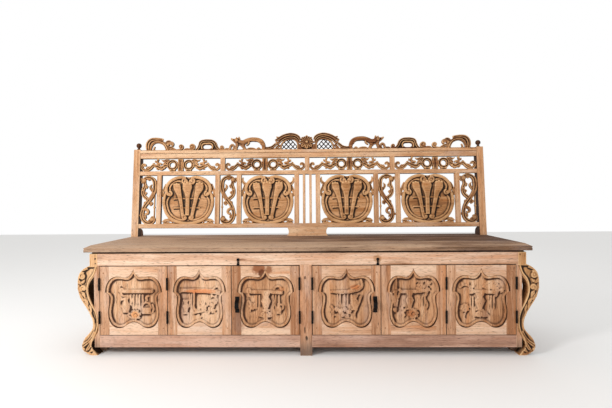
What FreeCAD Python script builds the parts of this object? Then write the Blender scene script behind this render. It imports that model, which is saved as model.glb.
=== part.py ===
import FreeCAD, Part
import math
import os
from FreeCAD import Vector

# A long carved storage bench. All sizes are millimetres.
# While the pieces are made, x runs along the bench, y runs back from the face of
# the doors and z runs up from the floor. Each piece is moved at the end, so that
# the origin lies at the middle of the bench's base.

# Doors and the front opening
outerLeafWidth = 306.0
middleLeafWidth = 287.0
innerLeafWidth = 304.0
doorThickness = 22.0
doorGap = 3.0
topGap = 3.5
stileWidth = 42.0
railDepth = 118.0
panelThickness = 7.0
panelSetback = 6.0
panelLap = 9.0
panelClearance = 0.4
panelTopCorner = 50.0
panelFootCorner = 35.0
tenonLength = 34.0
tenonBackSetback = 1.0
tenonShoulder = 9.0
pegRadius = 3.2
pegInset = 17.0
cartoucheMargin = 24.0
cartoucheTopMargin = 13.0
cartoucheFootMargin = 30.0

# Cabinet
centrePostWidth = 54.0
centrePostDepth = 60.0
cornerPostWidth = 43.0
cornerPostDepth = 45.0
postTongueWidth = 24.0
footRounding = 9.0
legDepth = 64.0
footClearance = 38.5
bottomRailHeight = 53.5
doorHeight = 310.5
apronHeight = 54.5
apronLap = 7.0
stopClearance = 0.3
stopHeight = 57.0
stopThickness = 12.0
bearerHeight = 7.5
bearerWidth = 40.0
bearerSetback = 8.0
sideBoardThickness = 10.0
railThickness = 24.0
backBoardThickness = 12.0
backBoardCount = 10
floorThickness = 12.0
floorBoardCount = 3
partitionThickness = 18.0
seatThickness = 29.0
seatDepth = 600.0
seatOverhangFront = 14.0
seatOverhangSide = 21.0
seatOverhangBack = 14.0
seatBoardCount = 4
seatBevelDrop = 10.0
seatFrontBevel = 38.0
seatEndBevel = 16.0
seatQuirkHeight = 2.6
seatQuirkDepth = 2.2
seatQuirkDrop = 4.0
legKneeBulge = 59.0
legWaist = 8.5
legFootBulge = 40.0

# Iron fittings
hingeHeight = 56.0
hingeInset = 80.0
hingeRadius = 4.5
hingePinRadius = 2.2
hingeLeafThickness = 1.1
hingeLeafWidth = 19.0
hingeFaceClearance = 0.3
runningClearance = 0.05
knuckleGap = 0.4
handleLength = 71.0
handleWidth = 18.0
handleReach = 24.0
handleStrap = 5.0
handleFootLength = 12.0
handleInset = 25.0
handleHeight = 232.0
buttonReach = 28.0
buttonThickness = 4.0
buttonHeadRadius = 6.5
buttonTipRadius = 6.0
buttonNeck = 7.0
buttonPivotHeight = 25.0
buttonOffsets = (304.0, 322.0)
screwHeadRadius = 4.5
screwHeadHeight = 2.0
screwRadius = 2.0
screwLength = 16.0

# Back frame. Heights here are measured up the slope, from the seat.
backSetback = 493.0
backLean = 6.8
backPostWidth = 38.0
backPostDepth = 48.0
backPostRise = 7.0
backPostInset = 17.0
backRailThickness = 24.0
backRailSetback = 2.0
lowerRailBottom = 47.5
lowerRailHeight = 23.5
mainOpeningHeight = 275.0
midRailHeight = 23.0
friezeOpeningHeight = 73.0
topRailHeight = 28.5
capHeight = 16.5
capOverhang = 5.0
backTenonLength = 18.0
backTenonThickness = 10.0
backTenonShoulder = 4.0
backStileWidth = 26.0
backStilePlaces = (834.0, 504.5, 383.0, 59.5)
spindleWidth = 14.0
spindlePlace = 18.0
friezeMuntinWidth = 26.0
friezeMuntinPlaces = (-477.0, 0.0, 477.0)
finialBallRadius = 14.5
finialNeckRadius = 5.0
finialBaseRadius = 12.0
finialNeckHeight = 15.0
footBracketReach = 34.0
footBracketHeight = 46.0
pedestalHalfWidth = 113.0
pedestalCove = 9.0
pedestalThickness = 32.0

# Carved work
carvingThickness = 20.0
carvingSetback = 4.0
medallionMargin = 5.0
medallionTieWidth = 34.0
scrollBand = 17.0
scrollTieWidth = 16.0
scrollRodRadius = 4.5
friezeRingRadius = 31.0
friezeRingBand = 15.0
friezeRingSpread = 46.0
friezeBarHeight = 17.0
crestBaseHeight = 10.0
crestArchBand = 24.0
crestShellRise = 97.0
crestShellReach = 180.0
crestShellHole = 17.0
crestRosetteRadius = 43.0

softEdge = 1.5

# Derived sizes
leafWidths = (outerLeafWidth, middleLeafWidth, innerLeafWidth)
centrePostHalf = centrePostWidth / 2
openingHalf = centrePostHalf + sum(leafWidths) + 4 * doorGap
cabinetHalf = openingHalf + cornerPostWidth
seatHalf = cabinetHalf + seatOverhangSide
bottomRailTop = footClearance + bottomRailHeight
doorBottom = bottomRailTop + doorGap
doorTop = doorBottom + doorHeight
apronBottom = doorTop + topGap
apronTop = apronBottom + apronHeight
apronThickness = doorThickness + stopClearance
blockInner = openingHalf + apronLap
seatBottom = apronTop + bearerHeight
seatTop = seatBottom + seatThickness
seatBack = seatDepth - seatOverhangFront
cabinetBack = seatBack - seatOverhangBack
cornerPostFront = legDepth
cornerPostBack = cornerPostFront + cornerPostDepth
rearPostFront = cabinetBack - cornerPostDepth
backPostOuter = seatHalf - backPostInset
backPostInner = backPostOuter - backPostWidth
mainBottom = lowerRailBottom + lowerRailHeight
mainTop = mainBottom + mainOpeningHeight
friezeBottom = mainTop + midRailHeight
friezeTop = friezeBottom + friezeOpeningHeight
topRailTop = friezeTop + topRailHeight
capTop = topRailTop + capHeight
backPostHeight = capTop + backPostRise
hingeAxisDepth = -(hingeRadius + hingeFaceClearance)
frontMost = -handleReach
rearMost = seatBack
middleDepth = (frontMost + rearMost) / 2
buttonPivot = apronBottom + buttonPivotHeight


def block(x0, x1, y0, y1, z0, z1):
    return Part.makeBox(x1 - x0, y1 - y0, z1 - z0, Vector(x0, y0, z0))


def softened(shape, radius=softEdge):
    # the long edges of a planed board, rubbed round by hand
    size = [shape.BoundBox.XLength, shape.BoundBox.YLength, shape.BoundBox.ZLength]
    longest = max(size)
    edges = [edge for edge in shape.Edges if edge.Length > 0.9 * longest]
    return shape.makeFillet(min(radius, min(size) / 4), edges)


def board(x0, x1, y0, y1, z0, z1):
    return softened(block(x0, x1, y0, y1, z0, z1))


def mirrored(shape):
    return shape.mirror(Vector(0, 0, 0), Vector(1, 0, 0))


def pair(shape):
    return [mirrored(shape), shape]


def cylinder(x, y, z, radius, length, direction):
    return Part.makeCylinder(radius, length, Vector(x, y, z), direction)


def smoothEdge(points):
    curve = Part.BSplineCurve()
    curve.interpolate([Vector(x, 0, z) for x, z in points])
    return curve.toShape()


def straightEdge(start, end):
    return Part.LineSegment(Vector(start[0], 0, start[1]), Vector(end[0], 0, end[1])).toShape()


def plate(edges, y0, thickness):
    # a flat board cut to an outline in the x, z plane
    face = Part.Face(Part.Wire(Part.sortEdges(edges)[0]))
    face.translate(Vector(0, y0, 0))
    return face.extrude(Vector(0, thickness, 0))


def polygonPlate(points, y0, thickness):
    ends = points[1:] + points[:1]
    return plate([straightEdge(a, b) for a, b in zip(points, ends)], y0, thickness)


def ellipsePlate(x, z, halfWidth, halfHeight, y0, thickness):
    # an ellipse needs its longer half first, so an upright one is turned
    upright = halfHeight > halfWidth
    long, short = max(halfWidth, halfHeight), min(halfWidth, halfHeight)
    if long == short:
        return cylinder(x, y0, z, long, thickness, Vector(0, 1, 0))
    curve = Part.Ellipse(Vector(0, 0, 0), long, short)
    face = Part.Face(Part.Wire([curve.toShape()]))
    face.rotate(Vector(0, 0, 0), Vector(0, 0, 1), 90 if upright else 0)
    face.rotate(Vector(0, 0, 0), Vector(1, 0, 0), 90)
    face.translate(Vector(x, y0, z))
    return face.extrude(Vector(0, thickness, 0))


def joined(shapes):
    whole = shapes[0]
    if len(shapes) > 1:
        whole = whole.fuse(shapes[1:])
    return whole.removeSplitter()


# Seat

def seatBoards():
    # bevels fall to a square edge, narrow at the ends, and a quirk runs round that edge
    front, lip = -seatOverhangFront, seatTop - seatBevelDrop
    flat = seatHalf - seatEndBevel
    slab = polygonPlate([(-seatHalf, seatBottom), (seatHalf, seatBottom), (seatHalf, lip),
                         (flat, seatTop), (-flat, seatTop), (-seatHalf, lip)], front, seatDepth)
    corners = [(front, lip), (front + seatFrontBevel, seatTop), (front, seatTop)]
    rim = [Vector(-seatHalf, y, z) for y, z in corners + corners[:1]]
    bevel = Part.Face(Part.makePolygon(rim)).extrude(Vector(2 * seatHalf, 0, 0))
    high = lip - seatQuirkDrop
    low = high - seatQuirkHeight
    inner = seatHalf - seatQuirkDepth
    quirk = block(-seatHalf, seatHalf, front, seatBack, low, high)
    quirk = quirk.cut(block(-inner, inner, front + seatQuirkDepth, seatBack, low, high))
    slab = slab.cut([bevel, quirk])
    boardDepth = seatDepth / seatBoardCount
    boards = []
    for index in range(seatBoardCount):
        start = -seatOverhangFront + index * boardDepth
        strip = block(-seatHalf, seatHalf, start, start + boardDepth, seatBottom, seatTop)
        boards.append(slab.common(strip))
    return boards


def seatBearers():
    edge = cabinetHalf - bearerSetback
    rear = cabinetBack - bearerSetback
    front = block(-edge, edge, bearerSetback, bearerSetback + bearerWidth, apronTop, seatBottom)
    back = block(-edge, edge, rear - bearerWidth, rear, apronTop, seatBottom)
    side = block(edge - bearerWidth, edge, bearerSetback + bearerWidth, rear - bearerWidth,
                 apronTop, seatBottom)
    return [front, back] + pair(side)


# Cabinet

def apron():
    whole = softened(block(-blockInner, blockInner, 0, apronThickness, apronBottom, apronTop))
    for x in (-buttonOffsets[0], buttonOffsets[1]):
        hole = cylinder(x, 0, buttonPivot, screwRadius, screwLength, Vector(0, 1, 0))
        whole = whole.cut(hole)
    return [whole]


def legOutline():
    # distances out from the cabinet's side, at shares of the leg's height
    height = apronBottom
    outer = [
        (0.0, 1.0),
        (0.46 * legKneeBulge, 0.968),
        (0.78 * legKneeBulge, 0.922),
        (0.96 * legKneeBulge, 0.856),
        (legKneeBulge, 0.782),
        (0.95 * legKneeBulge, 0.709),
        (0.78 * legKneeBulge, 0.636),
        (0.51 * legKneeBulge, 0.567),
        (0.24 * legKneeBulge, 0.508),
        (0.02 * legKneeBulge, 0.450),
        (-0.76 * legWaist, 0.391),
        (-legWaist, 0.342),
        (-0.7 * legWaist, 0.298),
        (0.15 * legFootBulge, 0.254),
        (0.53 * legFootBulge, 0.215),
        (0.85 * legFootBulge, 0.171),
        (legFootBulge, 0.127),
        (0.93 * legFootBulge, 0.073),
        (0.55 * legFootBulge, 0.026),
        (-0.10 * legFootBulge, 0.0),
    ]
    inner = [
        (-30.0, 0.0),
        (-7.0, 0.076),
        (-2.0, 0.130),
        (-12.0, 0.176),
        (-26.0, 0.225),
        (-36.0, 0.274),
        (-38.5, 0.342),
        (-36.5, 0.411),
        (-28.0, 0.482),
        (-13.0, 0.550),
        (2.0, 0.631),
        (9.5, 0.709),
        (9.0, 0.760),
        (1.0, 0.819),
        (-15.0, 0.873),
        (-29.0, 0.941),
        (blockInner - cabinetHalf, 1.0),
    ]
    outer = [(cabinetHalf + x, z * height) for x, z in outer]
    inner = [(cabinetHalf + x, z * height) for x, z in inner]
    return outer, inner


def frontLeg():
    outer, inner = legOutline()
    corners = [inner[-1], (blockInner, apronTop), (cabinetHalf, apronTop), outer[0]]
    edges = [smoothEdge(outer), smoothEdge(inner), straightEdge(outer[-1], inner[0])]
    edges += [straightEdge(a, b) for a, b in zip(corners, corners[1:])]
    return plate(edges, 0, legDepth)


def cornerPost(leg):
    # a stout post behind the leg, with a tongue that fills in beside the door
    body = block(openingHalf, cabinetHalf, cornerPostFront, cornerPostBack, 0, apronTop)
    feet = [edge for edge in body.Edges if edge.CenterOfMass.z < 1]
    body = body.makeFillet(footRounding, feet)
    tongue = block(openingHalf, openingHalf + postTongueWidth, 0, cornerPostFront,
                   footClearance, apronBottom)
    return joined([body, tongue.cut(leg)])


def centrePost():
    return [softened(block(-centrePostHalf, centrePostHalf, 0, centrePostDepth, 0, apronBottom))]


def bottomRails():
    rail = board(centrePostHalf, openingHalf, 0, railThickness, footClearance, bottomRailTop)
    return pair(rail)


def rearPosts():
    post = board(openingHalf, cabinetHalf, rearPostFront, cabinetBack, 0, apronTop)
    return pair(post)


def sideRails():
    inner = cabinetHalf - railThickness
    upper = block(inner, cabinetHalf, cornerPostBack, rearPostFront, apronBottom, apronTop)
    lower = block(inner, cabinetHalf, cornerPostBack, rearPostFront, footClearance, bottomRailTop)
    return pair(upper) + pair(lower)


def sidePanels():
    middle = cabinetHalf - railThickness / 2
    panel = block(middle - sideBoardThickness / 2, middle + sideBoardThickness / 2,
                  cornerPostBack, rearPostFront, bottomRailTop, apronBottom)
    return pair(panel)


def rearRails():
    front = cabinetBack - railThickness
    upper = block(-openingHalf, openingHalf, front, cabinetBack, apronBottom, apronTop)
    lower = block(-openingHalf, openingHalf, front, cabinetBack, footClearance, bottomRailTop)
    return [upper, lower]


def backBoards():
    front = cabinetBack - railThickness / 2 - backBoardThickness / 2
    width = 2 * openingHalf / backBoardCount
    boards = []
    for index in range(backBoardCount):
        start = -openingHalf + index * width
        boards.append(block(start, start + width, front, front + backBoardThickness,
                            bottomRailTop, apronBottom))
    return boards


def cabinetFloor():
    # boards along the cabinet, the first and last fitted between the posts
    low = bottomRailTop - floorThickness
    rear = cabinetBack - railThickness
    wideHalf = cabinetHalf - railThickness
    first = block(-openingHalf, openingHalf, railThickness, cornerPostBack, low, bottomRailTop)
    notch = block(-centrePostHalf, centrePostHalf, 0, centrePostDepth, low, bottomRailTop)
    boards = [first.cut(notch)]
    depth = (rearPostFront - cornerPostBack) / floorBoardCount
    for index in range(floorBoardCount):
        start = cornerPostBack + index * depth
        boards.append(block(-wideHalf, wideHalf, start, start + depth, low, bottomRailTop))
    boards.append(block(-openingHalf, openingHalf, rearPostFront, rear, low, bottomRailTop))
    return boards


def partition():
    half = partitionThickness / 2
    return [block(-half, half, centrePostDepth, cabinetBack - railThickness,
                  bottomRailTop, apronTop)]


def doorStops():
    strip = block(centrePostHalf, openingHalf, apronThickness, apronThickness + stopThickness,
                  apronTop - stopHeight - doorGap, apronTop - doorGap)
    return pair(strip)


# Doors

def leafStart(place):
    # the outer edge of a leaf, counted from the corner post towards the centre
    return openingHalf - doorGap - sum(leafWidths[:place]) - place * doorGap


def cartoucheEdges(left, right):
    # an ogee topped outline: pointed at the head, with a nick each side and a waved foot
    half = (right - left) / 2 - cartoucheMargin
    middle = (left + right) / 2
    foot = doorBottom + cartoucheFootMargin
    head = doorTop - cartoucheTopMargin
    rise = head - foot
    side = [
        [(0.0, 1.0), (0.10, 0.91), (0.22, 0.865), (0.48, 0.875), (0.72, 0.865),
         (0.92, 0.77), (1.0, 0.61)],
        [(1.0, 0.61), (0.86, 0.55), (0.84, 0.47), (0.88, 0.36), (0.90, 0.24), (0.85, 0.12),
         (0.68, 0.02), (0.40, 0.01), (0.20, 0.07), (0.0, 0.10)],
    ]
    edges = []
    for turn in (-1, 1):
        for run in side:
            edges.append(smoothEdge([(middle + turn * x * half, foot + z * rise) for x, z in run]))
    return edges


def doorFrame(place):
    # two stiles, two tenoned rails and the pegs through the joints, for the right side
    right = leafStart(place)
    left = right - leafWidths[place]
    opening = plate(cartoucheEdges(left, right), 0, doorThickness)
    innerLeft, innerRight = left + stileWidth, right - stileWidth
    pocket = panelBoard(left, right, panelClearance, panelThickness + panelClearance)
    stiles = [block(left, innerLeft, 0, doorThickness, doorBottom, doorTop),
              block(innerRight, right, 0, doorThickness, doorBottom, doorTop)]
    tenonFront = panelSetback + panelThickness + panelClearance
    rails, mortises, pegs = [], [], []
    for low, high in ((doorBottom, doorBottom + railDepth), (doorTop - railDepth, doorTop)):
        rail = block(innerLeft, innerRight, 0, doorThickness, low, high)
        top = low == doorBottom
        tenonLow = low + tenonShoulder if top else high - tenonShoulder - stileWidth
        tenon = block(innerLeft - tenonLength, innerRight + tenonLength, tenonFront,
                      doorThickness - tenonBackSetback, tenonLow, tenonLow + stileWidth)
        ends = tenon.cut(block(innerLeft, innerRight, 0, doorThickness, low, high))
        mortises.append(ends)
        rails.append(rail.cut([opening, pocket]).fuse(ends))
        for x in (left + pegInset, right - pegInset):
            pegs.append(cylinder(x, 0, tenonLow + stileWidth / 2, pegRadius, doorThickness,
                                 Vector(0, 1, 0)))
    stiles = [stile.cut([opening, pocket] + mortises + pegs) for stile in stiles]
    rails = [rail.removeSplitter().cut(pegs) for rail in rails]
    return stiles + rails + pegs


def panelBoard(left, right, clearance, thickness):
    # a board with clipped corners, which keep clear of the pegged joints
    near = left + cartoucheMargin - panelLap - clearance
    far = right - cartoucheMargin + panelLap + clearance
    low = doorBottom + cartoucheFootMargin - panelLap - clearance
    high = doorTop - cartoucheTopMargin + panelLap + clearance
    top, foot = panelTopCorner, panelFootCorner
    points = [(near, low + foot), (near + foot, low), (far - foot, low), (far, low + foot),
              (far, high - top), (far - top, high), (near + top, high), (near, high - top)]
    return polygonPlate(points, panelSetback, thickness)


def doorPanel(place):
    right = leafStart(place)
    return [panelBoard(right - leafWidths[place], right, 0, panelThickness)]


# Hinges. Each has three knuckles: the outer two carry the pin, the middle one turns.

def hingeHeights():
    return (doorBottom + hingeInset, doorTop - hingeInset)


def hingeHalf(x, z, side, carriesPin):
    # side is 1 where this half's leaf lies on the larger x side of the knuckle
    third = hingeHeight / 3
    low = z - hingeHeight / 2
    spans = [(low, low + third), (low + 2 * third, low + 3 * third)]
    if not carriesPin:
        spans = [(low + third + knuckleGap, low + 2 * third - knuckleGap)]
    wall = x + side * doorGap / 2
    face = x + side * (doorGap / 2 - hingeLeafThickness)
    near, far = min(wall, face), max(wall, face)
    pieces = [block(near, far, 0, hingeLeafWidth, low, low + hingeHeight)]
    for bottom, top in spans:
        knuckle = Part.makeCylinder(hingeRadius, top - bottom, Vector(x, hingeAxisDepth, bottom))
        pieces += [knuckle, block(near, far, hingeAxisDepth, 1.0, bottom, top)]
    half = joined(pieces)
    if carriesPin:
        pin = Part.makeCylinder(hingePinRadius, hingeHeight, Vector(x, hingeAxisDepth, low))
        return joined([half, pin])
    bore = Part.makeCylinder(hingePinRadius + runningClearance, hingeHeight,
                             Vector(x, hingeAxisDepth, low))
    return half.cut(bore)


def hinges(x, side, carriesPin):
    return [hingeHalf(x, z, side, carriesPin) for z in hingeHeights()]


def hingeAxes():
    # post to outer leaf, outer leaf to middle leaf, inner leaf to centre post
    return (openingHalf - doorGap / 2, leafStart(1) + doorGap / 2,
            centrePostHalf + doorGap / 2)


# Handles and turn buttons

def pullHandle():
    # a bent iron strap with a flat foot at each end
    centre = centrePostHalf + doorGap + innerLeafWidth - handleInset
    low = handleHeight - handleLength / 2
    high = low + handleLength
    bow = handleReach - handleStrap
    slope = handleFootLength
    outside = [(0, low), (0, high), (-handleStrap, high), (-handleStrap, high - slope),
               (-handleReach, high - 2 * slope), (-handleReach, low + 2 * slope),
               (-handleStrap, low + slope), (-handleStrap, low)]
    inside = [(0, low + slope), (0, high - slope), (-bow, high - 2 * slope - 2),
              (-bow, low + 2 * slope + 2)]
    solids = []
    for points in (outside, inside):
        corners = [Vector(centre - handleWidth / 2, y, z) for y, z in points]
        face = Part.Face(Part.makePolygon(corners + corners[:1]))
        solids.append(face.extrude(Vector(handleWidth, 0, 0)))
    strap = solids[0].cut(solids[1])
    rims = [edge for edge in strap.Edges
            if abs(edge.CenterOfMass.y + handleReach) < 0.1 and edge.Length > handleWidth + 1]
    return [strap.makeFillet(handleStrap * 0.3, rims)]


def turnButton(x):
    back = -hingeFaceClearance
    front = back - buttonThickness
    head = cylinder(x, front, buttonPivot, buttonHeadRadius, buttonThickness, Vector(0, 1, 0))
    tip = cylinder(x, front, buttonPivot - buttonReach + buttonTipRadius, buttonTipRadius,
                   buttonThickness, Vector(0, 1, 0))
    neck = block(x - buttonNeck / 2, x + buttonNeck / 2, front, back,
                 buttonPivot - buttonReach + buttonTipRadius, buttonPivot)
    hole = cylinder(x, front, buttonPivot, screwRadius + runningClearance, buttonThickness,
                    Vector(0, 1, 0))
    return [joined([head, tip, neck]).cut(hole)]


def buttonScrews():
    screws = []
    headBack = -hingeFaceClearance - buttonThickness - hingeFaceClearance
    for x in (-buttonOffsets[0], buttonOffsets[1]):
        head = cylinder(x, headBack - screwHeadHeight, buttonPivot, screwHeadRadius,
                        screwHeadHeight, Vector(0, 1, 0))
        shank = cylinder(x, headBack, buttonPivot, screwRadius, screwLength - headBack,
                         Vector(0, 1, 0))
        screws.append(joined([head, shank]))
    return screws


# Back frame, made upright and then leaned back about the foot of its face

def leaned(shape):
    copy = shape.copy()
    copy.translate(Vector(0, backSetback - seatOverhangFront, seatTop))
    pivot = Vector(0, backSetback - seatOverhangFront, seatTop)
    copy.rotate(pivot, Vector(1, 0, 0), -backLean)
    return copy


def seated(shape):
    # cut level where it stands on the seat
    below = block(-seatHalf, seatHalf, 0, 2 * seatDepth, seatTop - 4 * backPostDepth, seatTop)
    return leaned(shape).cut(below)


def railBar(low, height, overhang=0.0):
    front = backRailSetback - overhang
    back = backRailSetback + backRailThickness + overhang
    return softened(block(-backPostInner, backPostInner, front, back, low, low + height))


def railTenons(low, height):
    middle = backRailSetback + backRailThickness / 2
    shoulder = backTenonShoulder
    tenon = block(backPostInner, backPostInner + backTenonLength,
                  middle - backTenonThickness / 2, middle + backTenonThickness / 2,
                  low + shoulder, low + height - shoulder)
    return pair(tenon)


def framedRail(low, height):
    return joined([railBar(low, height)] + railTenons(low, height))


def railPlaces():
    return ((lowerRailBottom, lowerRailHeight), (mainTop, midRailHeight),
            (friezeTop, topRailHeight))


def backPost(side):
    reach = backPostDepth
    post = softened(block(backPostInner, backPostOuter, 0, backPostDepth, -reach, backPostHeight))
    tenons = [piece for low, height in railPlaces() for piece in railTenons(low, height)]
    post = post.cut(tenons)
    return [seated(post if side > 0 else mirrored(post))]


def footBrackets():
    # a shaped block behind the foot of each post
    front = backPostDepth
    back = front + footBracketReach
    low = -backPostDepth
    corner = footBracketHeight * 0.45
    lines = [((front, low), (back, low)), ((back, low), (back, corner)),
             ((front, footBracketHeight), (front, low))]
    edges = [Part.LineSegment(Vector(0, a[0], a[1]), Vector(0, b[0], b[1])).toShape()
             for a, b in lines]
    bend = Vector(0, back - footBracketReach * 0.25, footBracketHeight * 0.82)
    curve = Part.Arc(Vector(0, back, corner), bend, Vector(0, front, footBracketHeight))
    edges.append(curve.toShape())
    face = Part.Face(Part.Wire(Part.sortEdges(edges)[0]))
    face.translate(Vector(backPostInner, 0, 0))
    bracket = seated(face.extrude(Vector(backPostWidth, 0, 0)))
    return pair(bracket)


def finial():
    # a turned ball on a waisted neck
    x = backPostInner + backPostWidth / 2
    y = backPostDepth / 2
    z = backPostHeight
    ball = Part.makeSphere(finialBallRadius,
                           Vector(x, y, z + finialNeckHeight + finialBallRadius - 2))
    cone = Part.makeCone(finialBaseRadius, finialNeckRadius, finialNeckHeight,
                         Vector(x, y, z), Vector(0, 0, 1))
    return leaned(joined([cone, ball]))


def upright(centre, width, low, high):
    return leaned(softened(block(centre - width / 2, centre + width / 2, backRailSetback,
                                 backRailSetback + backRailThickness, low, high)))


def backStiles():
    places = [-place for place in backStilePlaces] + list(backStilePlaces)
    return [upright(place, backStileWidth, mainBottom, mainTop) for place in places]


def backSpindles():
    return [upright(place, spindleWidth, mainBottom, mainTop)
            for place in (-spindlePlace, spindlePlace)]


def friezeMuntins():
    return [upright(place, friezeMuntinWidth, friezeBottom, friezeTop)
            for place in friezeMuntinPlaces]


def pedestal():
    # a low board with hollowed ends between the seat and the lower rail
    half = pedestalHalfWidth
    low, top = -backPostDepth, lowerRailBottom
    waist = top * 0.45
    lines = [straightEdge((-half, top), (half, top)), straightEdge((half, 0), (half, low)),
             straightEdge((half, low), (-half, low)), straightEdge((-half, low), (-half, 0))]
    for turn in (-1, 1):
        middle = Vector(turn * (half - pedestalCove), 0, waist)
        curve = Part.Arc(Vector(turn * half, 0, 0), middle, Vector(turn * half, 0, top))
        lines.append(curve.toShape())
    return [seated(plate(lines, backRailSetback, pedestalThickness))]


# Carved work. Each carving is held by small ties against the frame around it.

def medallionOpenings():
    half = backStileWidth / 2
    outer, outerNext, inner, innerNext = backStilePlaces
    right = [(inner - half, innerNext + half), (outer - half, outerNext + half)]
    left = [(-near, -far) for far, near in right]
    return [(-right[1][0], -right[1][1]), (-right[0][0], -right[0][1]),
            (right[0][1], right[0][0]), (right[1][1], right[1][0])]


def medallion(left, right):
    middle = (left + right) / 2
    height = (mainBottom + mainTop) / 2
    halfWidth = (right - left) / 2 - medallionMargin
    halfHeight = mainOpeningHeight / 2 - medallionMargin
    y0 = carvingSetback
    disc = ellipsePlate(middle, height, halfWidth, halfHeight, y0, carvingThickness)
    tie = medallionTieWidth / 2
    across = block(left, right, y0, y0 + carvingThickness, height - tie, height + tie)
    down = block(middle - tie, middle + tie, y0, y0 + carvingThickness, mainBottom, mainTop)
    return leaned(joined([disc, across, down]))


def scrollOpenings():
    half = backStileWidth / 2
    outer, outerNext, inner, _ = backStilePlaces
    right = [(inner + half, outerNext - half), (outer + half, backPostInner)]
    left = [(-right[1][1], -right[1][0]), (-right[0][1], -right[0][0])]
    return left + right


def ring(x, z, halfWidth, halfHeight, band):
    y0 = carvingSetback
    outer = ellipsePlate(x, z, halfWidth, halfHeight, y0, carvingThickness)
    hole = ellipsePlate(x, z, halfWidth - band, halfHeight - band, y0, carvingThickness)
    return outer.cut(hole)


def scrollPanel(left, right, rodSide):
    # two linked loops, one above the other, and a thin rod beside the lower one
    middle = (left + right) / 2
    halfWidth = (right - left) / 2 - medallionMargin
    halfHeight = (mainOpeningHeight - 2 * medallionMargin + scrollBand) / 4
    y0 = carvingSetback
    back = y0 + carvingThickness
    low = mainBottom + medallionMargin
    high = mainTop - medallionMargin
    loops = [ring(middle, z, halfWidth, halfHeight, scrollBand)
             for z in (low + halfHeight, high - halfHeight)]
    tie = scrollTieWidth / 2
    foot = block(middle - tie, middle + tie, y0, back, mainBottom, low + scrollBand / 2)
    head = block(middle - tie, middle + tie, y0, back, high - scrollBand / 2, mainTop)
    rod = Part.makeCylinder(scrollRodRadius, mainOpeningHeight / 2,
                            Vector(middle + rodSide * (halfWidth - scrollRodRadius),
                                   y0 + carvingThickness / 2, mainBottom))
    return leaned(joined(loops + [foot, head, rod]))


def friezeCarving(left, right):
    # a bar of leaves from end to end, two rings on it and a clasp between them
    middle = (left + right) / 2
    height = (friezeBottom + friezeTop) / 2
    y0 = carvingSetback
    back = y0 + carvingThickness
    places = [middle + turn * friezeRingSpread for turn in (-1, 1)]
    rings = [ring(x, height, friezeRingRadius, friezeRingRadius, friezeRingBand) for x in places]
    holes = [cylinder(x, y0, height, friezeRingRadius - friezeRingBand, carvingThickness,
                      Vector(0, 1, 0)) for x in places]
    clasp = block(middle - friezeRingBand / 2, middle + friezeRingBand / 2, y0, back,
                  friezeBottom, friezeTop)
    bar = block(left, right, y0, back, height - friezeBarHeight, height)
    return leaned(joined(rings + [clasp, bar.cut(holes)]))


def friezeCarvings():
    half = friezeMuntinWidth / 2
    stops = [-backPostInner - half] + list(friezeMuntinPlaces) + [backPostInner + half]
    return [friezeCarving(a + half, b - half) for a, b in zip(stops, stops[1:])]


def archPiece(centre, halfWidth, rise, band=crestArchBand):
    # a carved arch that stands on the cap moulding
    low = capTop
    y0 = carvingSetback
    outer = ellipsePlate(centre, low, halfWidth, rise, y0, carvingThickness)
    inner = ellipsePlate(centre, low, halfWidth - band, rise - band, y0, carvingThickness)
    below = block(centre - halfWidth, centre + halfWidth, y0, y0 + carvingThickness,
                  low - 2 * rise, low)
    return outer.cut([inner, below])


def crestWing():
    # three arches and low curls between them, on a low base
    y0 = carvingSetback
    start = crestShellReach
    base = block(start, backPostInner, y0, y0 + carvingThickness, capTop,
                 capTop + crestBaseHeight)
    arches = [archPiece(311.0, 72.0, 70.0), archPiece(570.0, 72.0, 62.0),
              archPiece(850.0, 76.0, 73.0)]
    curls = [cylinder(place, y0, capTop + 24.0, 13.0, carvingThickness, Vector(0, 1, 0))
             for place in (415.0, 485.0, 655.0, 725.0)]
    stems = [block(place - 6.0, place + 6.0, y0, y0 + carvingThickness, capTop, capTop + 20.0)
             for place in (415.0, 485.0, 655.0, 725.0)]
    return leaned(joined([base] + arches + curls + stems))


def crestCentre():
    # two pierced shells and a rosette between them
    y0 = carvingSetback
    half = crestShellReach
    base = block(-half, half, y0, y0 + carvingThickness, capTop, capTop + crestBaseHeight)
    shellCentre = half - (half - crestRosetteRadius / 2) / 2
    shellHalf = half - shellCentre
    shells, holes = [], []
    for turn in (-1, 1):
        x = turn * shellCentre
        shell = ellipsePlate(x, capTop, shellHalf, crestShellRise, y0, carvingThickness)
        below = block(x - shellHalf, x + shellHalf, y0, y0 + carvingThickness,
                      capTop - 2 * crestShellRise, capTop)
        shells.append(shell.cut(below))
        holes += [ellipsePlate(x + across * 2.2 * crestShellHole, capTop + up, crestShellHole * 0.7,
                               crestShellHole, y0, carvingThickness)
                  for across, up in ((-1, 32.0), (0, 32.0), (1, 32.0), (-0.5, 62.0), (0.5, 62.0))]
    rosette = cylinder(0, y0, capTop + crestRosetteRadius, crestRosetteRadius,
                       carvingThickness, Vector(0, 1, 0))
    return leaned(joined([base] + shells + [rosette]).cut(holes))


def crestCarvings():
    wing = crestWing()
    return [mirrored(wing), crestCentre(), wing]


# All the pieces, by the name of their node

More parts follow.
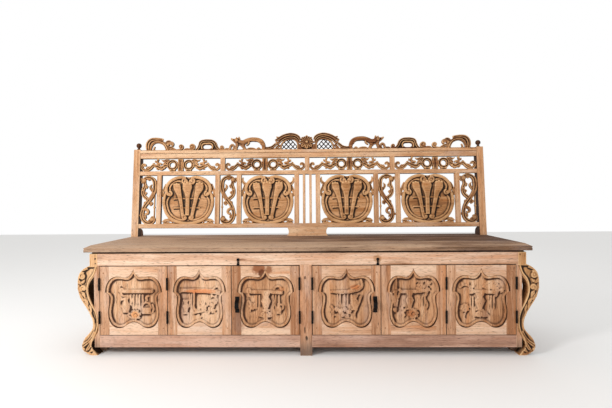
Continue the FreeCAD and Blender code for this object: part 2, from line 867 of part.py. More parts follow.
def carcass(nodes):
    leg = frontLeg()
    post = cornerPost(leg)
    nodes["seat_boards"] = seatBoards()
    nodes["seat_bearers"] = seatBearers()
    nodes["front_apron"] = apron()
    nodes["front_leg_left"] = [mirrored(leg)]
    nodes["front_leg_right"] = [leg]
    nodes["corner_post_left"] = [mirrored(post)]
    nodes["corner_post_right"] = [post]
    nodes["centre_post"] = centrePost()
    nodes["bottom_rails"] = bottomRails()
    nodes["rear_posts"] = rearPosts()
    nodes["side_rails"] = sideRails()
    nodes["side_panels"] = sidePanels()
    nodes["rear_rails"] = rearRails()
    nodes["back_boards"] = backBoards()
    nodes["cabinet_floor"] = cabinetFloor()
    nodes["partition"] = partition()
    nodes["door_stops"] = doorStops()


def backFrame(nodes):
    lower, middle, top = [leaned(framedRail(low, height)) for low, height in railPlaces()]
    nodes["back_post_left"] = backPost(-1)
    nodes["back_post_right"] = backPost(1)
    nodes["foot_brackets"] = footBrackets()
    nodes["finials"] = pair(finial())
    nodes["lower_rail"] = [lower]
    nodes["middle_rail"] = [middle]
    nodes["top_rail"] = [top]
    nodes["cap_moulding"] = [leaned(railBar(topRailTop, capHeight, capOverhang))]
    nodes["crest_carvings"] = crestCarvings()
    nodes["frieze_muntins"] = friezeMuntins()
    nodes["back_stiles"] = backStiles()
    nodes["back_spindles"] = backSpindles()
    nodes["back_pedestal"] = pedestal()
    nodes["frieze_carvings"] = friezeCarvings()
    for number, (left, right) in enumerate(medallionOpenings(), 1):
        nodes[f"medallion_{number}"] = [medallion(left, right)]
    rodSides = (1, -1, -1, 1)
    nodes["scroll_panels"] = [scrollPanel(left, right, rodSide)
                              for (left, right), rodSide in zip(scrollOpenings(), rodSides)]


def doors(nodes):
    names = (("a", "f"), ("b", "e"), ("c", "d"))
    post, fold, centre = hingeAxes()
    for place, (leftName, rightName) in enumerate(names):
        frame = doorFrame(place)
        panel = doorPanel(place)
        ironwork = [hinges(post, -1, False) + hinges(fold, 1, True),
                    hinges(fold, -1, False), hinges(centre, 1, False)][place]
        for name, turn in ((leftName, mirrored), (rightName, lambda shape: shape)):
            nodes[f"door_{name}_frame"] = [turn(piece) for piece in frame]
            nodes[f"door_{name}_panel"] = [turn(piece) for piece in panel]
            nodes[f"door_{name}_hinges"] = [turn(piece) for piece in ironwork]
    fixed = hinges(post, 1, True) + hinges(centre, -1, True)
    nodes["fixed_hinges"] = [mirrored(piece) for piece in fixed] + fixed
    nodes["pull_handle_left"] = [mirrored(piece) for piece in pullHandle()]
    nodes["pull_handle_right"] = pullHandle()
    nodes["turn_button_left"] = turnButton(-buttonOffsets[0])
    nodes["turn_button_right"] = turnButton(buttonOffsets[1])
    nodes["button_screws"] = buttonScrews()


def main():
    nodes = {}
    carcass(nodes)
    backFrame(nodes)
    doors(nodes)
    os.makedirs("parts", exist_ok=True)
    low, high = Vector(1e9, 1e9, 1e9), Vector(-1e9, -1e9, -1e9)
    for name, solids in nodes.items():
        pieces = [solid for shape in solids for solid in shape.Solids]
        shape = pieces[0].copy() if len(pieces) == 1 else Part.makeCompound(pieces)
        shape.translate(Vector(0, -middleDepth, 0))
        shape.exportStep(f"parts/{name}.step")
        box = shape.BoundBox
        low = Vector(min(low.x, box.XMin), min(low.y, box.YMin), min(low.z, box.ZMin))
        high = Vector(max(high.x, box.XMax), max(high.y, box.YMax), max(high.z, box.ZMax))
        print(name, len(pieces), "solids", "valid" if shape.isValid() else "NOT VALID")
    print("nodes", len(nodes))
    print("box", low, high)
    print("middle depth", middleDepth, "seat top", seatTop, "hinge axes", hingeAxes())
    print("hinge depth", hingeAxisDepth - middleDepth, "button pivot", buttonPivot)


main()
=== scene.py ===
import bmesh
import bpy
import math
import random
import numpy as np
from mathutils import Matrix, Vector, noise
from mathutils.bvhtree import BVHTree


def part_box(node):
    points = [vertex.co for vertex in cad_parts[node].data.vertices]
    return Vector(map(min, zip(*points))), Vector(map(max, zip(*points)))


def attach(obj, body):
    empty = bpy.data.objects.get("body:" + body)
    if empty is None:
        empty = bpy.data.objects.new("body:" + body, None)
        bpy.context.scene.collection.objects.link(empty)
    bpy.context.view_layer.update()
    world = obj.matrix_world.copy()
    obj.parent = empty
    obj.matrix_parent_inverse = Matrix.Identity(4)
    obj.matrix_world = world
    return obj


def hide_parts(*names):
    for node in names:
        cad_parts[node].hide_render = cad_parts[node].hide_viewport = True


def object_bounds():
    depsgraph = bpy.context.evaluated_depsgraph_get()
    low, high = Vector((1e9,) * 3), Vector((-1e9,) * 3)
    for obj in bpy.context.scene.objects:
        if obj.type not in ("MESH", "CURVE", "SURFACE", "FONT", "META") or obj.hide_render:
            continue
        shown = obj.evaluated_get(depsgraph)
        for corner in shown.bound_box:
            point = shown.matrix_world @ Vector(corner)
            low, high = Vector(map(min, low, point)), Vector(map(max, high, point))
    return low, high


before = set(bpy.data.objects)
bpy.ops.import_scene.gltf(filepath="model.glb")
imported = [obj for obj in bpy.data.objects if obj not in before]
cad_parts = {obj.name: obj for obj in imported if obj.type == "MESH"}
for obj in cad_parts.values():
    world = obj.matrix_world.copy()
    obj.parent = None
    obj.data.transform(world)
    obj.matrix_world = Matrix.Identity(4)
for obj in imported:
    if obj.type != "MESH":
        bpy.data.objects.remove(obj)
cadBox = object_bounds()
mm = 0.001
carcass = "carcass"

# Where the pieces stand, in the row frame

apronLow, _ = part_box("front_apron")
_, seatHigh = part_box("seat_boards")
faceY = apronLow.y                      # the face of the doors and of the apron
seatTop = seatHigh.z
leanDegrees = 6.8
backSetback = 0.479                     # from the doors' face to where the back meets the seat
backFaceY = faceY + backSetback
leanTurn = Matrix.Rotation(math.radians(-leanDegrees), 4, "X")
leanPlace = Matrix.Translation((0, backFaceY, seatTop)) @ leanTurn
flatPlace = Matrix.Translation((0, faceY, 0))


# Camera, floor and lights

camera = {
    "place": (0.047831, faceY - 2.056893, 0.708193),
    "yaw": -1.241,                      # degrees, clockwise from straight ahead is minus
    "pitch": -0.726,
    "roll": -0.421,
    "focalPixels": 459.984,
    "imageWidth": 612,
    "sensor": 36.0,
    "clipStart": 0.05,
}
studio = {
    "floorSize": 14.0,
    "floorColour": "#FBFAF8",
    "floorRoughness": 0.9,
    "lightTarget": (0, 0, 0.45),
    "skyColour": "#FFFFFF",
    "skyStrength": 0.76,                # what lights the bench
    "backdropStrength": 1.0,            # what the camera sees behind it
    "keyPlace": (-3.0, -2.9, 1.9),
    "keySize": 0.9,
    "keyPower": 92.0,
    "fillPlace": (1.6, -3.4, 1.2),
    "fillSize": 2.0,
    "fillPower": 9.0,
    "rearPlace": (0.6, 3.2, 2.8),
    "rearSize": 2.6,
    "rearPower": 12.0,
}


def linear(hexColour, alpha=1.0):
    channels = [int(hexColour[i:i + 2], 16) / 255 for i in (1, 3, 5)]
    straight = [c / 12.92 if c <= 0.04045 else ((c + 0.055) / 1.055) ** 2.4 for c in channels]
    return (*straight, alpha)


def addCamera():
    data = bpy.data.cameras.new("camera")
    data.sensor_width = camera["sensor"]
    data.lens = camera["focalPixels"] / camera["imageWidth"] * camera["sensor"]
    data.clip_start = camera["clipStart"]
    eye = bpy.data.objects.new("camera", data)
    bpy.context.scene.collection.objects.link(eye)
    yaw, pitch, roll = [math.radians(camera[k]) for k in ("yaw", "pitch", "roll")]
    ahead = Vector((math.sin(yaw) * math.cos(pitch), math.cos(yaw) * math.cos(pitch), math.sin(pitch)))
    side = Vector((math.cos(yaw), -math.sin(yaw), 0))
    above = side.cross(ahead)
    right = side * math.cos(roll) + above * math.sin(roll)
    up = above * math.cos(roll) - side * math.sin(roll)
    turn = Matrix((right, up, -ahead)).transposed().to_4x4()
    eye.matrix_world = Matrix.Translation(camera["place"]) @ turn
    bpy.context.scene.camera = eye


def addLight(name, place, size, power):
    data = bpy.data.lights.new(name, "AREA")
    data.shape = "DISK"
    data.size = size
    data.energy = power
    lamp = bpy.data.objects.new(name, data)
    bpy.context.scene.collection.objects.link(lamp)
    aim = (Vector(studio["lightTarget"]) - Vector(place)).to_track_quat("-Z", "Y")
    lamp.matrix_world = Matrix.Translation(place) @ aim.to_matrix().to_4x4()


def addNode(tree, kind, settings=None, **links):
    # one node with its settings, its socket values and the links into it
    made = tree.nodes.new(kind)
    for key, value in (settings or {}).items():
        setattr(made, key, value)
    for key, value in links.items():
        socket = made.inputs[int(key[1:])] if key[1:].isdigit() else made.inputs[key.replace("_", " ")]
        if isinstance(value, bpy.types.NodeSocket):
            tree.links.new(value, socket)
        else:
            socket.default_value = value
    return made


def addStudio():
    world = bpy.data.worlds.new("studio")
    world.use_nodes = True
    sky = world.node_tree.nodes["Background"]
    sky.inputs["Color"].default_value = linear(studio["skyColour"])
    seen = addNode(world.node_tree, "ShaderNodeLightPath").outputs["Is Camera Ray"]
    strength = addNode(world.node_tree, "ShaderNodeMapRange", Value=seen, i3=studio["skyStrength"],
                       i4=studio["backdropStrength"])
    world.node_tree.links.new(strength.outputs[0], sky.inputs["Strength"])
    bpy.context.scene.world = world
    bpy.context.scene.view_settings.view_transform = "Standard"
    for name in ("key", "fill", "rear"):
        addLight(name, studio[name + "Place"], studio[name + "Size"], studio[name + "Power"])
    bm = bmesh.new()
    bmesh.ops.create_grid(bm, x_segments=1, y_segments=1, size=studio["floorSize"] / 2)
    mesh = bpy.data.meshes.new("floor")
    bm.to_mesh(mesh)
    bm.free()
    floor = bpy.data.objects.new("floor", mesh)
    bpy.context.scene.collection.objects.link(floor)
    paper = bpy.data.materials.new("pale paper floor")
    paper.use_nodes = True
    shader = paper.node_tree.nodes["Principled BSDF"]
    shader.inputs["Base Color"].default_value = linear(studio["floorColour"])
    shader.inputs["Roughness"].default_value = studio["floorRoughness"]
    mesh.materials.append(paper)


# Finishes. Every wood reads the grain attribute: metres, with the grain along its first axis,
# the wear and shade attribute: below nought is grime and painted shade in the hollows, gaps and shaded
# sides, above it is rubbed bare wood, and
# the tone attribute: how much lighter or darker a board is than its neighbours, with a painted shade
# that darkens it towards the right.

woodLook = {
    "bendScale": (1.1, 9.0, 9.0),       # how often each pattern comes in a metre of grain
    "bendPush": (0.0, 7.0, 7.0),
    "patchScale": (4.0, 11.0, 11.0),
    "youngScale": (3.0, 34.0, 34.0),
    "youngPlace": (3.0, 1.0, 2.0),
    "dryScale": (5.0, 16.0, 16.0),
    "dryPlace": (7.0, 5.0, 1.0),
    "poreScale": (45.0, 620.0, 620.0),
    "ringShare": 0.75,                  # how much each pattern adds to the colour
    "fibreShare": 0.5,
    "patchShare": 0.6,
    "toneShare": 0.24,
    "ground": 0.05,
    "middle": 0.975,                    # what the patterns add up to on average
    "reach": 0.24,                      # and how far they swing to either side
    "youngMost": 0.5,
    "dryMost": 0.45,
    "wetFoot": 0.055,                   # metres above the floor: all grey below this
    "dryFoot": 0.135,                   # and none above this
    "grimeAndShadeMost": 0.96,
    "bareMost": 0.7,
    "specular": 0.18,
    "bumpDepth": 0.0009,
}


def mixed(tree, amount, colour, hexColour):
    return addNode(tree, "ShaderNodeMix", {"data_type": "RGBA"}, i0=amount, i6=colour,
                   i7=linear(hexColour)).outputs[2]


def slope(tree, value, low, high, start=0.0, end=1.0):
    # start where the value is low, end where it is high
    return addNode(tree, "ShaderNodeMapRange", Value=value, i1=low, i2=high, i3=start,
                   i4=end).outputs[0]


def timesPlus(tree, value, share, rest):
    return addNode(tree, "ShaderNodeMath", {"operation": "MULTIPLY_ADD"}, i0=value, i1=share,
                   i2=rest).outputs[0]


def stretchedNoise(tree, vector, stretch, place=(0.0, 0.0, 0.0), **settings):
    spread = addNode(tree, "ShaderNodeMapping", Vector=vector, Location=place, Scale=stretch)
    return addNode(tree, "ShaderNodeTexNoise", Vector=spread.outputs[0], **settings)


def newFinish(name):
    material = bpy.data.materials.new(name)
    material.use_nodes = True
    return material, material.node_tree, material.node_tree.nodes["Principled BSDF"]


def addBump(tree, shader, height, strength, depth):
    relief = addNode(tree, "ShaderNodeBump", Strength=strength, Distance=depth, Height=height)
    tree.links.new(relief.outputs["Normal"], shader.inputs["Normal"])


def woodFinish(name, pale, mid, deep, grimeAndShade, bare, streak="#C9824F", bloom="#CDB5A6", ringMm=9.0,
               fibreMm=2.2, contrast=1.0, roughness=0.62, weathered=None, bump=0.35, flecks=0.7,
               spots=()):
    # spots are stains and knots seen from the front: x, z, half width, half height in metres,
    # colour and strength
    look = woodLook
    material, tree, shader = newFinish(name)
    grain = addNode(tree, "ShaderNodeAttribute", {"attribute_name": "grain"}).outputs["Vector"]
    wearAndShade = addNode(tree, "ShaderNodeAttribute", {"attribute_name": "wearAndShade"}).outputs["Fac"]
    board = addNode(tree, "ShaderNodeAttribute", {"attribute_name": "tone"}).outputs["Fac"]

    # growth rings: long slow bands, bent by a slow noise
    bend = stretchedNoise(tree, grain, look["bendScale"], Scale=1.0, Detail=3.0, Roughness=0.5)
    perMetre = 1000.0 / ringMm
    bands = addNode(tree, "ShaderNodeMapping", Vector=grain, Scale=(0.5, perMetre, perMetre * 0.6))
    push = addNode(tree, "ShaderNodeVectorMath", {"operation": "MULTIPLY_ADD"},
                   i0=bend.outputs["Color"], i1=look["bendPush"], i2=bands.outputs[0])
    rings = addNode(tree, "ShaderNodeTexNoise", Vector=push.outputs[0], Scale=0.55, Detail=4.0,
                    Roughness=0.55).outputs["Fac"]
    # fibres: short fine streaks along the grain
    perMetre = 1000.0 / fibreMm
    fibres = stretchedNoise(tree, grain, (perMetre * 0.035, perMetre, perMetre), Scale=0.5,
                            Detail=3.0, Roughness=0.6).outputs["Fac"]
    # patches of sun, dust and handling
    patches = stretchedNoise(tree, grain, look["patchScale"], Scale=1.0, Detail=3.0).outputs["Fac"]

    mix = timesPlus(tree, rings, look["ringShare"], look["ground"])
    mix = timesPlus(tree, fibres, look["fibreShare"], mix)
    mix = timesPlus(tree, patches, look["patchShare"], mix)
    mix = timesPlus(tree, board, look["toneShare"], mix)
    half = look["reach"] / contrast
    tone = slope(tree, mix, look["middle"] - half, look["middle"] + half)
    ramp = addNode(tree, "ShaderNodeValToRGB", i0=tone)
    stops = ramp.color_ramp.elements
    stops[0].position, stops[0].color = 0.0, linear(deep)
    stops[1].position, stops[1].color = 1.0, linear(pale)
    middle = stops.new(0.5)
    middle.color = linear(mid)
    colour = ramp.outputs["Color"]
    # orange streaks of younger wood, and a greyer bloom where the surface has dried
    young = stretchedNoise(tree, grain, look["youngScale"], look["youngPlace"], Scale=1.0,
                           Detail=4.0).outputs["Fac"]
    colour = mixed(tree, slope(tree, young, 0.55, 0.72, 0.0, look["youngMost"]), colour, streak)
    dry = stretchedNoise(tree, grain, look["dryScale"], look["dryPlace"], Scale=1.0,
                         Detail=3.0).outputs["Fac"]
    colour = mixed(tree, slope(tree, dry, 0.55, 0.75, 0.0, look["dryMost"]), colour, bloom)

    # dark pores drawn as dashes, a little coarser than real ones so that they show
    pores = stretchedNoise(tree, grain, look["poreScale"], Scale=1.0, Detail=1.0).outputs["Fac"]
    poreMask = slope(tree, pores, 0.6, 0.72, 0.0, flecks)
    colour = mixed(tree, poreMask, colour, grimeAndShade)

    if spots:
        place = addNode(tree, "ShaderNodeTexCoord").outputs["Object"]
        ragged = addNode(tree, "ShaderNodeTexNoise", Vector=place, Scale=90.0, Detail=3.0)
    for x, z, wide, tall, paint, strength in spots:
        oval = addNode(tree, "ShaderNodeMapping", Vector=place, Location=(-x / wide, 0, -z / tall),
                       Scale=(1 / wide, 0, 1 / tall))
        reach = addNode(tree, "ShaderNodeVectorMath", {"operation": "LENGTH"},
                        i0=oval.outputs[0]).outputs["Value"]
        reach = timesPlus(tree, ragged.outputs["Fac"], 0.9, reach)
        colour = mixed(tree, slope(tree, reach, 1.5, 1.1, 0.0, strength), colour, paint)

    # the grey foot of a post that has stood in the wet
    if weathered:
        place = addNode(tree, "ShaderNodeTexCoord").outputs["Object"]
        height = addNode(tree, "ShaderNodeSeparateXYZ", Vector=place).outputs["Z"]
        rough = timesPlus(tree, rings, 0.07, height)
        foot = slope(tree, rough, look["wetFoot"], look["dryFoot"], 0.85, 0.0)
        colour = mixed(tree, foot, colour, weathered)

    # grime and painted shade in the hollows, gaps and shaded sides, rubbed wood on the edges
    uneven = timesPlus(tree, patches, 0.5, wearAndShade)
    colour = mixed(tree, slope(tree, uneven, 0.17, -0.3, 0.0, look["grimeAndShadeMost"]), colour, grimeAndShade)
    colour = mixed(tree, slope(tree, uneven, 0.5, 1.2, 0.0, look["bareMost"]), colour, bare)
    tree.links.new(colour, shader.inputs["Base Color"])

    shine = slope(tree, mix, 0.6, 1.4, roughness + 0.12, roughness - 0.08)
    tree.links.new(shine, shader.inputs["Roughness"])
    shader.inputs["Specular IOR Level"].default_value = look["specular"]
    height = timesPlus(tree, fibres, 0.6, rings)
    height = addNode(tree, "ShaderNodeMath", {"operation": "SUBTRACT"}, i0=height, i1=poreMask)
    addBump(tree, shader, height.outputs[0], bump, look["bumpDepth"])
    return material


def ironFinish(name, dark, rust, roughness):
    # hand-forged mild steel, blackened: dull, slightly pitted, a little brown at the edges
    material, tree, shader = newFinish(name)
    place = addNode(tree, "ShaderNodeTexCoord").outputs["Object"]
    pits = addNode(tree, "ShaderNodeTexNoise", Vector=place, Scale=420.0, Detail=4.0).outputs["Fac"]
    stain = addNode(tree, "ShaderNodeTexNoise", Vector=place, Scale=60.0, Detail=3.0).outputs["Fac"]
    colour = mixed(tree, slope(tree, stain, 0.5, 0.75), linear(dark), rust)
    tree.links.new(colour, shader.inputs["Base Color"])
    shader.inputs["Metallic"].default_value = 0.75
    gloss = slope(tree, pits, 0.3, 0.7, roughness - 0.08, roughness + 0.12)
    tree.links.new(gloss, shader.inputs["Roughness"])
    addBump(tree, shader, pits, 0.4, 0.0004)
    return material


# raw old teak, sanded and left dry: pinkish tan with orange streaks, no gloss
rawTeak = woodFinish("raw teak", "#E2BFA2", "#C89A78", "#9C6A48", "#2E1A10", "#ECC9A6")
# the leaf by the left handle has a brown stain on its top rail
stainedTeak = woodFinish("stained raw teak", "#E2BFA2", "#C89A78", "#9C6A48", "#2E1A10", "#ECC9A6",
                         spots=[
                             (-0.210, 0.394, 0.036, 0.028, "#8A4F2C", 0.9),
                             (-0.199, 0.374, 0.018, 0.018, "#5E3018", 0.9),
                             (-0.166, 0.389, 0.017, 0.022, "#8A5634", 0.85),
                             (-0.305, 0.150, 0.03, 0.06, "#7C5A48", 0.5)])
# the apron, with rubbed arcs where the turn buttons swing
apronTeak = woodFinish("apron teak", "#E9C9AE", "#D0A587", "#A57655", "#33190E", "#F2D2AE",
                       spots=[
                           (0.322, 0.436, 0.021, 0.02, "#A8713F", 0.55),
                           (-0.281, 0.434, 0.02, 0.004, "#7A4526", 0.6)])
# rails near the floor: washed out, pinkish grey
railTeak = woodFinish("washed rail teak", "#CDA791", "#AD8570", "#835F4B", "#2C1A12", "#D9B49A",
                      streak="#A87152", bloom="#BBA094")
# the same teak where posts have stood in the wet: grey at the foot, with two knots
footTeak = woodFinish("weathered post teak", "#D6AC8C", "#B78462", "#8D5D3E", "#2A1810", "#E2BC98",
                      weathered="#66554A", spots=[
                          (0.002, 0.079, 0.006, 0.014, "#1E120C", 0.9),
                          (-0.006, 0.118, 0.004, 0.018, "#2A1A12", 0.8),
                          (-0.004, 0.352, 0.005, 0.009, "#3A2216", 0.8)])
# teak panels carved in low relief: the cuts hold a little dark dust and painted shade
panelTeak = woodFinish("relief panel teak", "#DDB592", "#C2916A", "#94623E", "#33190D", "#E4BA92",
                       contrast=1.1, flecks=0.85, spots=[
                           (-0.775, 0.187, 0.022, 0.016, "#E0924E", 0.6),
                           (-0.475, 0.291, 0.08, 0.012, "#DB8047", 0.65),
                           (0.222, 0.309, 0.026, 0.012, "#C4703A", 0.6),
                           (0.466, 0.19, 0.026, 0.018, "#A85F30", 0.55),
                           (-0.113, 0.3, 0.022, 0.014, "#C4773E", 0.5)])
# the same teak on the back frame, a little more golden
frameTeak = woodFinish("golden teak", "#E6C09A", "#CD9C72", "#9F6B43", "#331B0F", "#EECB9F")
# carved teak, oiled by hands: golden brown, nearly black with grime and painted shade in the cuts
carvedTeak = woodFinish("carved teak", "#D8A577", "#B07B4C", "#744425", "#160904", "#E6BA86",
                        streak="#B9753E", bloom="#B8926E", ringMm=7.0, contrast=1.0, roughness=0.55)
# the legs: golden, with black grime and painted shade in the cuts, and a few pin holes in the blocks
# painted dark as shade
legTeak = woodFinish("golden leg teak", "#DDB184", "#BD8B5B", "#8A5B35", "#160A05", "#E6BE8E",
                     streak="#B97A44", bloom="#BFA184", spots=[
                         (-0.953, 0.441, 0.004, 0.005, "#1A0D07", 0.9),
                         (-0.952, 0.419, 0.004, 0.004, "#1A0D07", 0.8),
                         (0.951, 0.452, 0.003, 0.004, "#1A0D07", 0.8)])
# seat planks, worn by use: grey brown, with the grain raised
seatTeak = woodFinish("worn seat teak", "#BD9C80", "#8F6E55", "#5C4130", "#20100B", "#DDB08A",
                      streak="#9A6B47", bloom="#A88F82", ringMm=8.0, fibreMm=3.0, contrast=1.3,
                      roughness=0.7, bump=0.6)
# finials painted dark brown, and the brackets behind the posts painted near black as shade
darkTeakAndShade = woodFinish("dark handled teak", "#7A5031", "#4A2C1A", "#24130B", "#0C0503", "#9A6A42",
                      streak="#5E3820", bloom="#57402F")
# rough sawn inner boards
sawnTeak = woodFinish("rough sawn teak", "#A88566", "#83624A", "#563A28", "#24140C", "#B28E6E",
                      contrast=1.1, roughness=0.8, bump=0.7)
blackIron = ironFinish("blackened iron", "#0B0A0A", "#1E120D", 0.5)


# Boards: a node's own solids, with their edges eased and the grain run along each one

boardWork = {
    "weld": 2e-6,                       # metres between corners that are one
    "flatAngle": 0.6,                   # degrees under which two faces are one
    "edgeAngle": 32.0,                  # degrees from which an edge is eased
    "turnedAngle": 35.0,                # degrees that stay sharp on turned work
    "grainShift": 5.0,                  # metres, so that no two boards are alike
    "grainSlope": 0.03,
    "sidePaintedShade": 0.35,                   # painted shade: how much darker a board is a metre further right, away from the light
}


def freshObject(name, mesh, material):
    piece = bpy.data.objects.new(name, mesh)
    bpy.context.scene.collection.objects.link(piece)
    mesh.materials.clear()
    mesh.materials.append(material)
    return piece


def solidsOf(bm):
    # a node's triangles come solid by solid, and each solid is closed when its last edge is met
    loose, solid = set(), []
    for face in bm.faces:
        corners = [tuple(round(c, 6) for c in v.co) for v in face.verts]
        for start, end in zip(corners, corners[1:] + corners[:1]):
            if (end, start) in loose:
                loose.remove((end, start))
            elif start != end:
                loose.add((start, end))
        solid.append(face)
        if not loose:
            yield list(dict.fromkeys(v for f in solid for v in f.verts))   # kept in order
            solid = []


def islandsOf(bm):
    left = set(bm.faces)
    for seed in bm.faces:
        if seed not in left:
            continue
        left.remove(seed)
        stack, island = [seed], []
        while stack:
            face = stack.pop()
            island.append(face)
            for edge in face.edges:
                for other in edge.link_faces:
                    if other in left:
                        left.remove(other)
                        stack.append(other)
        yield island


def boards(node, material, body=carcass, place=None, ease=1.4, grainAxis=None,
           wearEdge=0.75, toneOf=None, spread=0.35, grimeAndShade=None, turned=False,
           rightShade=boardWork["sidePaintedShade"]):
    # grainAxis is 0, 1 or 2, or else each board's longest way; toneOf gives a board's tone from
    # its middle and size, below nought darker; the shade function passed in gives painted shade from a
    # face's middle and normal
    back = place or Matrix.Identity(4)
    bm = bmesh.new()
    bm.from_mesh(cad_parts[node].data)
    for corners in list(solidsOf(bm)):
        bmesh.ops.remove_doubles(bm, verts=corners, dist=boardWork["weld"])
    bmesh.ops.transform(bm, matrix=back.inverted(), verts=bm.verts)
    bmesh.ops.dissolve_limit(bm, angle_limit=math.radians(boardWork["flatAngle"]), verts=bm.verts,
                             edges=bm.edges)
    edgeAngle = math.radians(boardWork["edgeAngle"])
    sharp = [e for e in bm.edges if len(e.link_faces) == 2 and e.calc_face_angle(0) > edgeAngle]
    eased = set()
    if ease:
        eased = set(bmesh.ops.bevel(bm, geom=sharp, offset=ease * mm, affect="EDGES", segments=2,
                                    profile=0.5, material=-1, clamp_overlap=True)["faces"])
    grain = bm.loops.layers.float_vector.new("grain")
    wearAndShade = bm.loops.layers.float.new("wearAndShade")
    tone = bm.loops.layers.float.new("tone")
    dice = random.Random(node)
    grainShift = boardWork["grainShift"]
    for faces in islandsOf(bm):
        points = [v.co for f in faces for v in f.verts]
        low = Vector(min(p[i] for p in points) for i in range(3))
        high = Vector(max(p[i] for p in points) for i in range(3))
        size = high - low
        axis = grainAxis if grainAxis is not None else max(range(3), key=lambda i: size[i])
        order = [axis] + [i for i in range(3) if i != axis]
        shift = [dice.uniform(-grainShift, grainShift) for _ in range(3)]
        lean = dice.uniform(-boardWork["grainSlope"], boardWork["grainSlope"])
        shade = dice.uniform(-spread, spread) + (toneOf((low + high) / 2, size) if toneOf else 0.0)
        for face in faces:
            face.smooth = turned or face in eased
            # painted shade on this face, where a shade function is given
            shadeHere = grimeAndShade(face.calc_center_median(), face.normal) if grimeAndShade else 0.0
            for loop in face.loops:
                p = loop.vert.co
                run = [p[i] + s for i, s in zip(order, shift)]
                run[1] += lean * p[axis]
                loop[grain] = run
                loop[wearAndShade] = shadeHere or (wearEdge if face in eased else 0.0)
                # the tone takes a painted shade that darkens it towards the right
                loop[tone] = shade - rightShade * p.x
    bmesh.ops.transform(bm, matrix=back, verts=bm.verts)
    mesh = bpy.data.meshes.new(node)
    bm.to_mesh(mesh)
    bm.free()
    if turned:
        mesh.set_sharp_from_angle(angle=math.radians(boardWork["turnedAngle"]))
    piece = freshObject(node + "_wood", mesh, material)
    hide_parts(node)
    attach(piece, body)
    return piece


# Carving kit. A carving is built flat: x along the bench and z up, in millimetres from the
# bench's middle and from the seat, with the face of the work towards minus y. Strands are
# ribbons as thick as the board with a shaped face, and everything is then fused and smoothed.

profiles = {
    # heights across a strand, from its edge to its middle, as shares of its half width
    "round": [(1.0, 0.0), (0.9, 0.32), (0.68, 0.52), (0.36, 0.64), (0.0, 0.68)],
    "fluted": [(1.0, 0.0), (0.92, 0.42), (0.74, 0.58), (0.5, 0.5), (0.3, 0.16), (0.0, 0.04)],
    "ribbed": [(1.0, 0.0), (0.94, 0.3), (0.78, 0.42), (0.6, 0.2), (0.42, 0.42), (0.26, 0.62),
               (0.14, 0.68), (0.0, 0.7)],
    "leaf": [(1.0, 0.0), (0.86, 0.34), (0.6, 0.5), (0.36, 0.42), (0.14, 0.16), (0.0, 0.1)],
    "torch": [(1.0, 0.0), (0.92, 0.16), (0.7, 0.26), (0.4, 0.3), (0.0, 0.32)],
}
profileDrop = 40.0                      # how far a profile's foot reaches below, in half widths
footLevel = -0.5                        # what lies lower than this is a profile's foot
scroll = {
    "steps": 12,                        # points in one turn
    "windIn": 0.72,                     # share of the radius that is wound in
    "taper": 0.7,
    "eye": 0.36,
    "eyeRise": 1.5,
}
leafTaper = (0.15, 0.8, 1.0, 0.75, 0.12)
outlineSlack = 0.3                      # millimetres that a cut may stand past its board


def profileCurve(kind):
    name = "profile_" + kind
    if name in bpy.data.objects:
        return bpy.data.objects[name]
    half = profiles[kind]
    top = [(x, y) for x, y in half] + [(-x, y) for x, y in reversed(half[:-1])]
    outline = top + [(-1.0, -profileDrop), (1.0, -profileDrop)]
    data = bpy.data.curves.new(name, "CURVE")
    data.dimensions = "2D"
    spline = data.splines.new("POLY")
    spline.points.add(len(outline) - 1)
    for point, (x, y) in zip(spline.points, outline):
        point.co = (x, y, 0, 1)
    spline.use_cyclic_u = True
    shape = bpy.data.objects.new(name, data)
    bpy.context.scene.collection.objects.link(shape)
    shape.hide_render = True
    return shape


def meshOf(data):
    holder = bpy.data.objects.new("holder", data)
    bpy.context.scene.collection.objects.link(holder)
    graph = bpy.context.evaluated_depsgraph_get()
    mesh = bpy.data.meshes.new_from_object(holder.evaluated_get(graph))
    bpy.data.objects.remove(holder)
    return mesh


